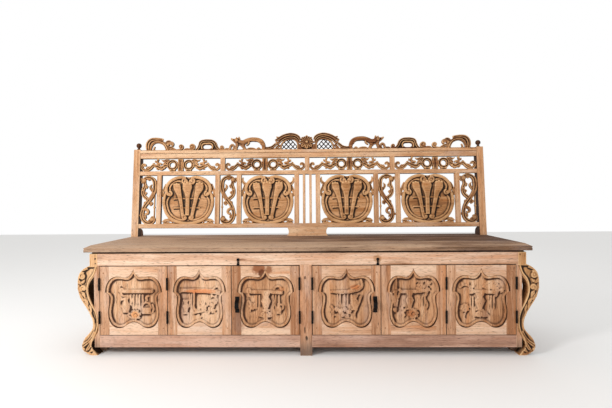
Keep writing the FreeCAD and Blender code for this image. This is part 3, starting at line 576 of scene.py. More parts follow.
class Carving:
    # collects the shapes of one carved piece

    def __init__(self, ground=12.0, back=24.0):
        self.bm = bmesh.new()
        self.front = ground              # depth of the ground that the shapes rise from
        self.back = back                 # depth of the board's back

    def take(self, mesh, foot=None):
        # the curve's height becomes depth; what hangs below the foot level is cut flat
        for vertex in mesh.vertices:
            x, up, height = vertex.co
            isFoot = foot is not None and height < footLevel
            vertex.co = (x, self.front + foot if isFoot else self.front - height, up)
        self.bm.from_mesh(mesh)
        bpy.data.meshes.remove(mesh)

    def strand(self, points, radii, kind="round", level=0.0, thick=None, cyclic=False, smooth=6,
               corners=()):
        data = bpy.data.curves.new("strand", "CURVE")
        data.dimensions = "3D"
        data.twist_mode = "Z_UP"
        data.bevel_mode = "OBJECT"
        data.bevel_object = profileCurve(kind)
        data.use_fill_caps = not cyclic
        data.resolution_u = smooth
        spline = data.splines.new("BEZIER")
        spline.bezier_points.add(len(points) - 1)
        spline.use_cyclic_u = cyclic
        if not isinstance(radii, (list, tuple)):
            radii = [radii] * len(points)
        for i, (knot, point) in enumerate(zip(spline.bezier_points, points)):
            share = i / max(1, len(points) - 1) * (len(radii) - 1)
            low = int(share)
            high = min(low + 1, len(radii) - 1)
            knot.radius = radii[low] + (radii[high] - radii[low]) * (share - low)
            knot.co = (point[0], point[1], level + (point[2] if len(point) > 2 else 0.0))
            knot.handle_left_type = knot.handle_right_type = "VECTOR" if i in corners else "AUTO"
        self.take(meshOf(data), foot=(self.back - self.front) if thick is None else thick)
        bpy.data.curves.remove(data)

    def plate(self, outlines, level=0.0, bevel=2.0, thick=None):
        # a filled shape; any further outlines are holes in it
        data = bpy.data.curves.new("plate", "CURVE")
        data.dimensions = "2D"
        data.fill_mode = "BOTH"
        data.resolution_u = 6
        depth = (self.back - self.front) if thick is None else thick
        data.extrude = (depth + level) / 2 - bevel * 0.5
        data.bevel_depth = bevel
        data.bevel_resolution = 1
        data.offset = -bevel
        for outline in outlines:
            spline = data.splines.new("BEZIER")
            spline.bezier_points.add(len(outline) - 1)
            spline.use_cyclic_u = True
            for knot, point in zip(spline.bezier_points, outline):
                knot.co = (point[0], point[1], 0)
                handle = "VECTOR" if len(point) > 2 else "AUTO"
                knot.handle_left_type = knot.handle_right_type = handle
        mesh = meshOf(data)
        bpy.data.curves.remove(data)
        middle = (level - depth) / 2
        for vertex in mesh.vertices:
            vertex.co.z += middle
        self.take(mesh)

    def ball(self, x, z, radius, level=0.0, tall=0.75):
        made = bmesh.ops.create_icosphere(self.bm, subdivisions=3, radius=radius)["verts"]
        bmesh.ops.scale(self.bm, vec=(1, tall, 1), verts=made)
        bmesh.ops.translate(self.bm, vec=(x, self.front - level, z), verts=made)

    def block(self, x0, x1, z0, z1, level=0.0, thick=None):
        depth = (self.back - self.front) if thick is None else thick
        made = bmesh.ops.create_cube(self.bm, size=1.0)["verts"]
        bmesh.ops.scale(self.bm, vec=(x1 - x0, depth + level, z1 - z0), verts=made)
        middle = self.front + (depth - level) / 2
        bmesh.ops.translate(self.bm, vec=((x0 + x1) / 2, middle, (z0 + z1) / 2), verts=made)

    def volute(self, x, z, radius, start, turns=1.25, way=1, width=4.0, level=1.0, tail=None):
        # a spiral that winds in from its rim, start is in degrees from the right
        points = list(tail or [])
        steps = max(8, int(scroll["steps"] * turns))
        for i in range(steps + 1):
            share = i / steps
            angle = math.radians(start + way * 360 * turns * share)
            reach = radius * (1 - scroll["windIn"] * share)
            points.append((x + reach * math.cos(angle), z + reach * math.sin(angle)))
        wide = [width] * (len(points) // 2) + [width * scroll["taper"]]
        self.strand(points, wide, "round", level)
        self.ball(x, z, radius * scroll["eye"], level + scroll["eyeRise"])

    def leafAlong(self, points, width, level=1.0):
        self.strand(points, [width * share for share in leafTaper], "leaf", level)

    def leaves(self, rows, level=1.0, at=list):
        for width, *points in rows:
            self.leafAlong(at(points), width, level)

    def shift(self, x, z):
        bmesh.ops.translate(self.bm, vec=(x, 0, z), verts=self.bm.verts)

    def stretch(self, x, z):
        bmesh.ops.scale(self.bm, vec=(x, 1, z), verts=self.bm.verts)

    def takeNode(self, node, place, cutHeight, cutDepth, side):
        # the node's own solid, with its face cut back by cutDepth below cutHeight
        bm = bmesh.new()
        bm.from_mesh(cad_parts[node].data)
        bmesh.ops.remove_doubles(bm, verts=bm.verts, dist=boardWork["weld"])
        turn = Matrix.Diagonal((side, 1, 1, 1)) @ Matrix.Scale(1 / mm, 4) @ place.inverted()
        bmesh.ops.transform(bm, matrix=turn, verts=bm.verts)
        if side < 0:
            bmesh.ops.reverse_faces(bm, faces=bm.faces)
        for height in (cutHeight, cutHeight - 3):
            everything = bm.verts[:] + bm.edges[:] + bm.faces[:]
            bmesh.ops.bisect_plane(bm, geom=everything, dist=1e-4, plane_co=(0, 0, height),
                                   plane_no=(0, 0, 1))
        for v in bm.verts:
            if v.co.z < cutHeight - 1 and v.co.y < cutDepth:
                v.co.y = cutDepth
        mesh = bpy.data.meshes.new(node)
        bm.to_mesh(mesh)
        bm.free()
        self.bm.from_mesh(mesh)
        bpy.data.meshes.remove(mesh)
        outline = self.bm.copy()
        self.shape = BVHTree.FromBMesh(outline)
        outline.free()

    def keepInside(self):
        # draws whatever stands past the board's own outline back to it
        depth = self.back / 2
        for v in self.bm.verts:
            flat = Vector((v.co.x, depth, v.co.z))
            hit, normal, _, _ = self.shape.find_nearest(flat)
            if hit and abs(normal.y) < 0.5 and (flat - hit).dot(normal) > outlineSlack:
                v.co.x, v.co.z = hit.x, hit.z

    def mirror(self, about=0.0):
        bmesh.ops.scale(self.bm, vec=(-1, 1, 1), verts=self.bm.verts)
        bmesh.ops.translate(self.bm, vec=(2 * about, 0, 0), verts=self.bm.verts)
        bmesh.ops.reverse_faces(self.bm, faces=self.bm.faces)

    def finish(self, name, node, material, place, slot="carved_wood", voxel=1.5, body=carcass,
               rounds=2, grainTurn=False, deepAt=12.0, chisel=0.25, tone=0.0, rub=1.0, cut=1.0):
        mesh = bpy.data.meshes.new(name)
        self.bm.to_mesh(mesh)
        self.bm.free()
        piece = bpy.data.objects.new(name, mesh)
        bpy.context.scene.collection.objects.link(piece)
        fused = piece.modifiers.new("fuse", "REMESH")
        fused.mode = "VOXEL"
        fused.voxel_size = voxel
        graph = bpy.context.evaluated_depsgraph_get()
        solid = bpy.data.meshes.new_from_object(piece.evaluated_get(graph))
        bpy.data.objects.remove(piece)
        shapeWork(solid, rounds, chisel, self.front, self.back, deepAt, grainTurn, tone, rub,
                  cut, name)
        solid.transform(place @ Matrix.Scale(mm, 4))
        keepInBox(solid)
        piece = freshObject(name, solid, material)
        for face in solid.polygons:
            face.use_smooth = True
        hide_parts(node)
        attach(piece, body)
        print(name, len(solid.polygons), "faces")
        return piece


def keepInBox(mesh):
    # tool marks may not reach past the bench's own outline
    co = np.empty(len(mesh.vertices) * 3)
    mesh.vertices.foreach_get("co", co)
    co = np.clip(co.reshape(-1, 3), np.array(cadBox[0]), np.array(cadBox[1]))
    mesh.vertices.foreach_set("co", co.ravel())
    mesh.update()


cuts = {
    "smooth": 0.5,
    "wideRounds": 22,                   # how widely the surface is averaged to find its hollows
    "wideSmooth": 0.6,
    "hollow": 0.55,                     # millimetres of hollow that hold a full load of grime and painted shade
    "deepest": -1.6,
    "ridge": 1.4,                       # millimetres of ridge that are rubbed bare
    "ground": 0.5,                      # painted shade at the full depth of the work
    "allRound": 0.3,                    # grime and painted shade on every side of what stands proud
    "shadowSideShare": 0.9,                     # and more painted shadow below and to the right, away from the light
    # painted shade on the side walls that face right and down
    "wall": 1.3,
    "wearAndShadeSmooth": 0.4,
    "marks": (0.22, 0.6),               # how often the two sizes of tool mark come in a millimetre
    "smallMarks": 0.6,
    "cleanBack": 1.5,                   # millimetres at the back without tool marks
}


def shapeWork(mesh, rounds, chisel, front, back, deepAt, grainTurn, tone, rub, cut, name):
    # smooths the fused mesh, roughens it with tool marks and marks the hollows with grime and painted
    # shade
    count = len(mesh.vertices)
    co = np.empty(count * 3)
    mesh.vertices.foreach_get("co", co)
    co = co.reshape(-1, 3)
    ends = np.empty(len(mesh.edges) * 2, dtype=np.int64)
    mesh.edges.foreach_get("vertices", ends)
    ends = ends.reshape(-1, 2)
    both = np.concatenate([ends, ends[:, ::-1]])
    degree = np.bincount(both[:, 0], minlength=count).astype(float)[:, None]

    def relaxed(values, share):
        total = np.zeros_like(values)
        for i in range(values.shape[1]):
            total[:, i] = np.bincount(both[:, 0], weights=values[both[:, 1], i], minlength=count)
        return values + share * (total / np.maximum(degree, 1) - values)

    for _ in range(rounds):
        co = relaxed(co, cuts["smooth"])
    mesh.vertices.foreach_set("co", co.ravel())
    mesh.update()
    normals = np.empty(count * 3)
    mesh.vertices.foreach_get("normal", normals)
    normals = normals.reshape(-1, 3)
    wide = co.copy()
    for _ in range(cuts["wideRounds"]):
        wide = relaxed(wide, cuts["wideSmooth"])
    bulge = np.einsum("ij,ij->i", co - wide, normals)
    depth = np.clip((co[:, 1] - front) / deepAt, 0, 1)
    # painted shadow lies thickest below and to the right of whatever stands proud, away from the light
    away = co - wide
    reach = np.hypot(away[:, 0], away[:, 2]) + 1e-3
    shadowSide = np.clip((away[:, 2] * 0.6 - away[:, 0] * 0.8) / reach, 0, 1)
    # painted shade on the side walls that face right and down, away from the light
    wall = np.clip(1.1 - 1.6 * np.abs(normals[:, 1]), 0, 1)
    wall = wall * np.clip(normals[:, 0] * 0.85 - normals[:, 2] * 0.6, 0, 1)
    hollow = np.clip(bulge / cuts["hollow"], cuts["deepest"], 0)
    hollow = hollow * (cuts["allRound"] + cuts["shadowSideShare"] * shadowSide)
    rubbed = np.clip(bulge / cuts["ridge"], 0, 1)
    # the deep ground is painted dark as shade, and the ridges are rubbed bare
    wearAndShade = cut * (hollow - cuts["wall"] * wall) + rub * rubbed - cuts["ground"] * depth
    wearAndShade = relaxed(wearAndShade[:, None], cuts["wearAndShadeSmooth"])[:, 0]
    large, small = cuts["marks"]
    share = cuts["smallMarks"]
    marks = np.array([noise.noise(Vector(p) * large) + share * noise.noise(Vector(p) * small)
                      for p in co])
    marks[co[:, 1] > back - cuts["cleanBack"]] = 0
    co = co + normals * (marks * chisel)[:, None]
    mesh.vertices.foreach_set("co", co.ravel())
    dice = random.Random(name)
    grainShift = boardWork["grainShift"]
    shift = np.array([dice.uniform(-grainShift, grainShift) for _ in range(3)])
    run = co * mm
    if grainTurn:
        run = run[:, [2, 1, 0]]
    run = run + shift
    layer = mesh.attributes.new("grain", "FLOAT_VECTOR", "POINT")
    layer.data.foreach_set("vector", run.astype(np.float32).ravel())
    # the tone, darkened towards the right as painted shade
    shade = tone - boardWork["sidePaintedShade"] * mm * co[:, 0]
    for attribute, values in (("wearAndShade", wearAndShade), ("tone", shade)):
        layer = mesh.attributes.new(attribute, "FLOAT", "POINT")
        layer.data.foreach_set("value", values.astype(np.float32))
    mesh.update()


def towards(side):
    # a mirrored shape is drawn once: this puts a row of points on the given side
    return lambda points: [(side * x, *rest) for x, *rest in points]


# Crest. The left wing is drawn, and the right one is its mirror image.

capTop = 487.0                          # of the cap moulding, above the seat
crest = {
    "ground": 12.0,
    "back": 24.0,
    "voxel": 1.5,
    "squeeze": 0.945,                   # brings the shell down to the bench's full height
    "wingTone": -0.6,
    "middleTone": -0.8,
    "cut": 1.3,                         # how dark the grime and painted shade in the cuts are
}
shell = {
    "bars": 9,
    "barStart": -225.0,
    "barPitch": 25.0,
    "barRun": 62.0,
    "barRise": 74.0,
    "barWidth": 3.6,
    "middle": -101.0,
    "halfWidth": 48.0,
    "rise": 66.0,
}


def crestWing(side):
    work = Carving(crest["ground"], crest["back"])
    base = capTop
    # low band that everything grows from
    work.block(-944, -178, base - 0.4, base + 7, level=-2.0)
    # leafy arch at the end: an outer leaf, an inner leaf and a small one behind
    work.strand([(-904, base), (-909, 510), (-906, 532), (-893, 549), (-868, 556), (-840, 555),
                 (-822, 553)], [9, 12, 12, 10, 8, 6], "leaf", 3.0)
    work.ball(-823, 553, 6.5, 3)
    work.strand([(-893, base), (-891, 512), (-880, 532), (-858, 542), (-832, 538), (-812, 526),
                 (-800, 508), (-792, base)], [5, 8, 9, 9, 10, 11, 12], "ribbed", 1.0)
    work.strand([(-872, base), (-874, 500), (-868, 514)], [5, 5, 3], "round", 0.0)
    work.leafAlong([(-812, 528), (-798, 541), (-784, 543), (-774, 539)], 8)
    work.strand([(-797, 520), (-782, 532), (-771, 534), (-765, 525), (-770, 516)], [9, 8, 8, 6],
                "round", 2.5)
    work.ball(-774, 527, 7, 4)
    work.leafAlong([(-800, 506), (-780, 508), (-762, 500), (-744, 494)], 9)
    # two small curls that face each other over a flat leaf
    work.volute(-719, 511, 13.5, -75, 1.15, 1, 4.6, 2.0,
                tail=[(-790, base + 3), (-762, base + 5), (-738, base + 6), (-722, base + 9)])
    work.leafAlong([(-708, base + 3), (-690, base + 9), (-670, base + 8), (-652, base + 3)], 8)
    work.volute(-655, 511, 14.5, 5, 1.2, 1, 4.6, 2.0,
                tail=[(-706, base + 4), (-680, base + 5), (-658, base + 7), (-643, base + 13)])
    # ogee arch: a pierced plate with a raised rim
    work.plate([[(-628, base), (-608, 508), (-603, 528), (-592, 538), (-566, 541), (-540, 538),
                 (-528, 524), (-520, 505), (-500, base)],
                [(-592, 510), (-583, 520), (-567, 521), (-552, 519), (-544, 510), (-552, 501),
                 (-570, 499), (-586, 501)]], level=-5.0, bevel=1.6)
    work.strand([(-640, base - 1), (-624, 497), (-613, 518), (-606, 537), (-585, 545), (-562, 546),
                 (-540, 543), (-524, 532), (-514, 511), (-501, 495), (-486, base - 1)],
                [5, 7, 7, 7.5, 7, 7, 7, 7.5, 7, 6, 4], "fluted", 1.5)
    work.strand([(-598, 497), (-600, 512), (-592, 526), (-570, 529), (-546, 527), (-537, 513),
                 (-541, 497)], 4.2, "round", 0.0)
    work.volute(-486, 505, 12, -120, 1.1, 1, 4.4, 2.0,
                tail=[(-470, base + 2), (-484, base + 4), (-494, base + 7)])
    work.leafAlong([(-476, base + 2), (-462, base + 8), (-446, base + 8), (-430, base + 3)], 7)
    # hooked lobe behind the neck of the beast
    work.strand([(-446, base + 1), (-438, 500), (-433, 514), (-421, 518), (-416, 507), (-420, 495)],
                [5, 7, 7, 6, 5], "round", 1.5)
    # traditional crested beast: head turned back, arched body with a hole under it
    work.strand([(-408, base), (-402, 503), (-398, 520), (-401, 534)], [9, 8, 9, 10], "round", 2.0)
    work.plate([[(-434, 557), (-424, 541), (-409, 530), (-394, 529), (-382, 538), (-380, 552),
                 (-386, 563), (-394, 558), (-401, 565), (-407, 556), (-420, 555)]],
               level=4.0, bevel=2.5)
    work.ball(-400, 543, 10.5, 6)
    work.ball(-424, 550, 5.5, 4)
    work.ball(-407, 548, 3.2, 11.5)
    work.ball(-387, 561, 5.0, 3)
    work.strand([(-392, 540), (-376, 535), (-360, 533), (-345, 540), (-324, 548), (-300, 549),
                 (-275, 545), (-258, 534), (-248, 516), (-246, 500), (-252, base)],
                [9, 11, 13, 13, 12, 12, 12, 13, 12, 10, 9], "round", 3.0)
    work.strand([(-362, 530), (-362, 512), (-356, 499), (-350, base)], [11, 10, 9, 9], "round", 1.0)
    work.strand([(-340, 541), (-330, 533), (-335, 521), (-346, 514)], [4, 5, 4, 3], "round", 7.0)
    work.strand([(-285, 541), (-270, 534), (-262, 520)], [4, 5, 3], "round", 8.0)
    work.leafAlong([(-350, base + 3), (-330, base + 9), (-305, base + 9), (-282, base + 4)], 7.5)
    work.leafAlong([(-292, base + 3), (-275, base + 11), (-262, base + 8)], 6.5)
    work.strand([(-398, 516), (-388, 521), (-377, 518), (-368, 510)], [5, 5, 5, 6], "round", 0.0)
    # tail that sweeps up into the shell
    work.strand([(-252, base + 4), (-236, base + 10), (-218, base + 12), (-200, base + 17),
                 (-186, 514), (-176, 524)], [8, 8, 7, 7.5, 8, 7], "fluted", 2.0)
    work.leafAlong([(-236, base + 2), (-214, base + 5), (-190, base + 7), (-174, base + 4)], 6.5)
    if side > 0:
        work.mirror()
    name = "crest_wing_" + ("right" if side > 0 else "left")
    return work.finish(name, "crest_carvings", carvedTeak, leanPlace, voxel=crest["voxel"],
                       tone=crest["wingTone"], cut=crest["cut"])


def clipToShell(run, base):
    # keeps the part of a bar that lies under the shell's inner rim
    (x0, z0), (x1, z1) = run
    kept = []
    for i in range(25):
        share = i / 24
        x, z = x0 + (x1 - x0) * share, z0 + (z1 - z0) * share
        across = (x - shell["middle"]) / shell["halfWidth"]
        if abs(across) < 1 and z < base + shell["rise"] * math.sqrt(1 - across * across):
            kept.append((x, z))
    return [kept[0], kept[-1]] if len(kept) > 3 else []


def crestMiddle():
    work = Carving(crest["ground"], crest["back"])
    base = capTop
    work.block(-182, 182, base - 0.4, base + 5, level=-2.0)
    for at in (towards(1), towards(-1)):
        # pierced ground of the shell: crossing bars
        for k in range(shell["bars"]):
            near = shell["barStart"] + k * shell["barPitch"]
            far, top = near + shell["barRun"], base + shell["barRise"]
            for run in ([(near, base), (far, top)], [(far, base), (near, top)]):
                inside = clipToShell(run, base)
                if inside:
                    work.strand(at(inside), shell["barWidth"], "round", -4.0)
        # the shell's two bands and its inner rim
        work.strand(at([(-150, base), (-148, 512), (-138, 533), (-118, 549), (-94, 556),
                        (-70, 551), (-57, 538), (-52, 520), (-53, base)]), 5.5, "round", -1.0)
        work.strand(at([(-170, 519), (-157, 538), (-137, 555), (-111, 566), (-86, 569), (-63, 562),
                        (-50, 548), (-46, 530)]), [6, 7.5, 8, 8, 8, 8, 7, 6], "fluted", 2.5)
        work.strand(at([(-182, 545), (-165, 553), (-146, 566), (-122, 577), (-94, 582), (-66, 577),
                        (-48, 565), (-40, 550)]), [4, 8, 8, 8, 8, 8, 8, 6], "fluted", 4.5)
        work.leafAlong(at([(-152, 556), (-165, 562), (-176, 569)]), 6, level=5.0)
        work.strand(at([(-176, 538), (-168, 530), (-158, 530)]), [5, 7, 5], "round", 3.0)
        work.leafAlong(at([(-184, base + 3), (-172, base + 16), (-158, base + 26),
                           (-148, base + 20)]), 8)
        work.leafAlong(at([(-184, base + 1), (-166, base + 8), (-150, base + 8)]), 7)
        # the fluted fan between shell and flower
        for i in range(4):
            x = -49 + i * 6.5
            work.strand(at([(x, base), (x + 1, base + 22), (x + 4, base + 38 - i * 3)]), 4.0,
                        "round", -1.0)
    # the flower: eye, ring of petals, leaves between them
    eyeX, eyeZ = -2.0, 534.0
    work.ball(eyeX, eyeZ, 8.0, 7.0)
    work.strand([(eyeX + 12 * math.cos(a), eyeZ + 12 * math.sin(a))
                 for a in [i * math.pi / 4 for i in range(8)]], 3.2, "round", 4.0, cyclic=True)
    for i in range(8):
        angle = math.radians(90 + i * 45)
        reach = [(14, 0.5), (24, 1.0), (34, 0.9), (41, 0.3)]
        work.strand([(eyeX + r * math.cos(angle), eyeZ + r * math.sin(angle)) for r, _ in reach],
                    [9.5 * w for _, w in reach], "leaf", 5.0)
        angle += math.radians(22.5)
        work.strand([(eyeX + r * math.cos(angle), eyeZ + r * math.sin(angle)) for r in (18, 30, 38)],
                    [5, 6, 2], "round", 1.5)
    work.plate([[(eyeX + 33 * math.cos(a), eyeZ - 2 + 33 * math.sin(a))
                 for a in [i * math.pi / 6 for i in range(12)]]], level=-3.0)
    work.block(-26, 24, base - 0.4, base + 26, level=-4.0)
    bmesh.ops.scale(work.bm, vec=(1, 1, crest["squeeze"]), verts=work.bm.verts,
                    space=Matrix.Translation((0, 0, -capTop)))
    return work.finish("crest_middle", "crest_carvings", carvedTeak, leanPlace, voxel=crest["voxel"],
                       tone=crest["middleTone"], cut=crest["cut"])


# Friezes: two beaded rings about a clasp, with leaf scrolls that run out to either side

frieze = {
    "ground": 12.0,
    "back": 24.0,
    "middles": (-717.5, -238.5, 238.5, 717.5),
    "height": 405.0,                    # of the rings' middles above the seat
    "ringSpread": 46.0,
    "ringRadius": 23.0,
    "ringWidth": 8.5,
    "voxel": 1.65,
    "tone": -0.5,
    "cut": 1.3,
}


def friezePanel(number, middle):
    work = Carving(frieze["ground"], frieze["back"])
    up, spread, reach = frieze["height"], frieze["ringSpread"], frieze["ringRadius"]
    work.strand([(0, up - 34), (0, up), (0, up + 34)], 6.0, "round", 1.0)
    for side in (-1, 1):
        at = towards(side)
        work.strand(at([(11, up - 33), (9, up), (11, up + 34)]), 5.5, "round", 3.0)
        ring = [(spread + reach * math.sin(a), up + reach * math.cos(a))
                for a in [i * math.pi / 4 for i in range(8)]]
        work.strand(at(ring), frieze["ringWidth"], "fluted", 3.0, cyclic=True, smooth=8)
        for bead in (-11, 11):
            work.ball(side * (spread + bead), up - 27, 7.0, 3.0)
        work.strand(at([(spread - 18, up - 31), (spread, up - 34), (spread + 18, up - 31)]), 3.0,
                    "round", -2.0)
        # leaf over the ring, leaf body beside it and the lobes that hang from it
        work.leafAlong(at([(62, up + 27), (74, up + 24), (88, up + 14), (104, up + 4)]), 8, level=3.0)
        work.leafAlong(at([(66, up + 33), (84, up + 28), (100, up + 25), (112, up + 32)]), 6.5,
                       level=2.0)
        work.strand(at([(68, up - 6), (84, up - 2), (98, up - 12), (112, up - 16), (128, up - 9),
                        (142, up - 5), (152, up + 1)]), [8, 10, 12, 12, 11, 9, 6], "leaf", 2.0)
        work.leafAlong(at([(98, up - 14), (106, up - 24), (118, up - 28)]), 7, level=3.0)
        work.leafAlong(at([(118, up - 12), (130, up - 22), (140, up - 22)]), 6, level=2.0)
        work.ball(side * 92, up - 14, 7, 3.5)
        work.strand(at([(108, up + 5), (118, up + 9), (130, up + 6), (136, up - 2)]), [6, 6.5, 6, 4],
                    "round", 3.0)
        # sprig that stands up to the rail
        work.strand(at([(124, up + 4), (131, up + 14), (133, up + 24), (128, up + 34)]),
                    [5.5, 6, 5.5, 6], "round", 2.0)
        work.ball(side * 129, up + 32, 6.5, 3.0)
        work.leafAlong(at([(134, up + 12), (144, up + 20), (146, up + 30)]), 5, level=1.0)
        # long leaf down and up into the volute at the post
        work.strand(at([(140, up - 2), (152, up + 1), (162, up - 6), (172, up - 17), (186, up - 26),
                        (204, up - 27), (217, up - 18), (219, up - 5), (212, up + 5), (202, up + 3),
                        (201, up - 6)]), [6, 8, 9, 9, 8, 7, 7, 6.5, 6, 5, 4], "leaf", 2.5)
        work.leafAlong(at([(152, up - 2), (156, up + 8), (150, up + 14)]), 5.5, level=2.0)
        work.leafAlong(at([(168, up - 14), (178, up - 10), (186, up - 14), (190, up - 4)]), 6, level=3.0)
        work.leafAlong(at([(184, up - 27), (194, up - 18), (196, up - 10)]), 5, level=1.0)
        work.ball(side * 208, up - 3, 5.5, 3.5)
        work.strand(at([(214, up - 6), (221, up - 3), (228, up - 3)]), 6.0, "round", -1.0)
    work.shift(middle, 0)
    return work.finish(f"frieze_{number}", "frieze_carvings", carvedTeak, leanPlace,
                       voxel=frieze["voxel"], tone=frieze["tone"], cut=frieze["cut"])


# Scroll panels: two strands that part round a hole, cross, and roll up at the foot

scrollPanel = {
    "ground": 12.0,
    "back": 24.0,
    "outer": 945.0,                     # from the bench's middle to the outer panel's far edge
    "inner": 491.0,
    "width": 95.0,
    "lastWidth": 97.0,                  # the right-hand one stands a little further in
    "voxel": 1.6,
    "tone": -0.3,
    "cut": 1.2,
}


def scrollWork(number, edge, way):
    # edge is where the panel starts, and way is the direction it runs in
    work = Carving(scrollPanel["ground"], scrollPanel["back"])
    work.strand([(17, 316), (26, 328), (42, 334), (62, 331), (79, 316), (84, 292), (83, 264),
                 (76, 240), (62, 216), (46, 194), (31, 174), (21, 150), (17, 122), (23, 97),
                 (40, 80), (62, 76), (80, 86), (84, 100), (76, 110), (67, 103)],
                [8, 9, 9, 10, 11, 12, 12, 11, 11, 11, 11, 10, 10, 11, 11, 10, 9, 7, 6, 5], "leaf", 3.0)
    work.strand([(22, 322), (25, 302), (28, 288), (21, 270), (17, 248), (25, 228), (42, 212),
                 (56, 192), (64, 174)], [9, 8, 10, 10, 9, 10, 10, 9, 4], "leaf", 2.0)
    work.ball(23, 318, 13, 2.0)
    work.leafAlong([(10, 330), (8, 318), (12, 300)], 7, level=1.0)
    work.leafAlong([(36, 326), (50, 322), (58, 330)], 6, level=3.5)
    work.leafAlong([(66, 296), (58, 280), (66, 262), (74, 246)], 8, level=2.0)
    work.leafAlong([(28, 292), (38, 284), (38, 270)], 7, level=2.5)
    work.leafAlong([(24, 256), (34, 246), (32, 236)], 6.5, level=2.5)
    work.ball(18, 262, 6.5, 3.0)
    work.strand([(80, 250), (70, 226), (60, 212), (66, 202)], [6, 8, 7, 4], "round", 4.0)
    work.leafAlong([(56, 196), (68, 190), (72, 178)], 7, level=4.0)
    work.leafAlong([(40, 200), (30, 192), (24, 180)], 6.5, level=3.5)
    work.strand([(20, 152), (34, 155), (46, 148), (50, 136), (42, 127), (33, 132)],
                [7, 8, 8, 7, 6, 4], "round", 3.5)
    work.leafAlong([(24, 124), (34, 114), (40, 100)], 7, level=3.0)
    work.leafAlong([(46, 84), (58, 92), (62, 102)], 6, level=3.0)
    work.ball(74, 97, 12.5, 4.0)
    # the turned rod that steadies the panel
    work.strand([(83, 104), (83, 134), (83, 158), (83, 165), (83, 172), (83, 200), (83, 236)],
                [3.4, 3.4, 3.6, 6.5, 3.6, 3.4, 3.4], "round", -1.0)
    # where it meets the frame
    work.strand([(12, 326), (0, 326)], 6.0, "round", -1.0)
    work.strand([(84, 280), (96, 280)], 6.0, "round", -1.0)
    work.strand([(17, 120), (0, 120)], 6.0, "round", -1.0)
    work.strand([(46, 78), (46, 70)], 8.0, "round", -1.0)
    work.strand([(46, 334), (46, 347)], 8.0, "round", -1.0)
    if way < 0:
        work.mirror()
    work.shift(edge, 0)
    return work.finish(f"scroll_panel_{number}", "scroll_panels", carvedTeak, leanPlace,
                       voxel=scrollPanel["voxel"], grainTurn=True,
                       tone=scrollPanel["tone"], cut=scrollPanel["cut"])


# Medallions: a lobed disc with a double rim that rolls up at the top, and three torches on it

medallion = {
    "ground": 13.0,
    "back": 24.0,
    "middles": (-670.0, -221.0, 221.0, 670.0),
    "innerWidth": 0.985,                # the two inner ones are narrower
    "voxel": 2.0,
    "deepAt": 60.0,
    "tone": 0.4,
}


def medallionDisc(number, middle):
    work = Carving(medallion["ground"], medallion["back"])
    inner = number in (2, 3)
    halfOutline = [(-8, 336), (-46, 340), (-82, 331), (-112, 311), (-128, 284), (-129, 256),
                   (-139, 230), (-144, 196), (-138, 156), (-119, 116), (-88, 88), (-48, 74)]
    outline = halfOutline + [(0, 69)] + [(-x, z) for x, z in reversed(halfOutline)]
    work.plate([outline], level=0.0, bevel=2.0)
    for side in (-1, 1):
        at = towards(-side)
        # the rims: the upper lobe, the lower disc, and the fine rim inside both
        work.strand(at([(-14, 332), (-46, 334), (-80, 325), (-107, 306), (-122, 282), (-124, 258),
                        (-116, 240), (-104, 232)]), [6, 9, 9.5, 9.5, 9, 9, 8, 6], "round", 4.0)
        work.strand(at([(-124, 250), (-133, 226), (-137, 196), (-131, 158), (-113, 120), (-84, 94),
                        (-46, 80), (4, 74)]), [6, 8.5, 9, 9, 9, 9, 8.5, 6], "round", 3.0)
        work.strand(at([(-44, 312), (-68, 312), (-92, 297), (-104, 276), (-102, 258)]),
                    [4, 4.5, 5, 5, 4], "round", 2.0)
        work.strand(at([(-108, 222), (-118, 200), (-114, 162), (-98, 128), (-72, 106), (-44, 95),
                        (-18, 92)]), [3, 4.5, 4.5, 4.5, 4.5, 4.5, 3], "round", 2.0)
        work.volute(side * 19, 311, 17, 90, 1.2, -side, 6.5, 5.0,
                    tail=at([(-46, 334), (-30, 333)]))
        work.volute(side * 106, 240, 15, 100, 1.0, side, 5.0, 3.0)
        work.volute(side * 17, 106, 14, 90, 1.1, -side, 4.6, 4.0)
        # leaf spurs at the waist and at the foot
        work.leafAlong(at([(-134, 214), (-146, 232), (-143, 256), (-136, 280), (-130, 302)]), 8,
                       level=-1.0)
        work.leafAlong(at([(-130, 296), (-120, 290), (-116, 276)]), 5, level=5.0)
        work.leafAlong(at([(-147, 82), (-128, 92), (-106, 92), (-84, 80)]), 9, level=1.0)
        work.leafAlong(at([(-150, 76), (-124, 78), (-92, 78)]), 6, level=-2.0)
        if inner:
            work.strand(at([(-128, 292), (-141, 304), (-146, 318), (-142, 332)]), [9, 8, 6, 3],
                        "leaf", 1.0)
    work.block(-142, 142, 71, 77, level=-4.0)
    # three torches bound by two rods
    for z in (212, 160):
        work.strand([(-82, z), (-40, z + 1), (0, z), (40, z + 1), (66, z)], 3.0, "round", 1.5)
    torches = {"left": [(-66, 292, 20), (-62, 272, 21), (-52, 240, 14), (-42, 200, 10),
                        (-34, 150, 8.5), (-27, 108, 8)],
               "middle": [(-5, 296, 26), (-5, 272, 27), (-4, 244, 17), (-3, 214, 11), (-3, 165, 11),
                          (-3, 118, 11)],
               "right": [(64, 296, 22), (62, 272, 24), (50, 240, 15), (42, 205, 11), (32, 158, 10),
                         (22, 108, 8)]}
    for name in ("left", "right", "middle"):
        knots = torches[name]
        top = 5.5 if name == "middle" else 4.5
        work.strand([(x, z) for x, z, _ in knots], [w for _, _, w in knots], "torch", top)
        x, z, w = knots[0]
        for i in (-1, 0, 1):
            work.ball(x + i * w * 0.6, z + 4 - abs(i) * 4, w * 0.36, top + 2.0)
    if inner:
        work.stretch(medallion["innerWidth"], 1.0)
    work.shift(middle, 0)
    return work.finish(f"medallion_{number}_disc", f"medallion_{number}", carvedTeak, leanPlace,
                       voxel=medallion["voxel"], deepAt=medallion["deepAt"], tone=medallion["tone"])


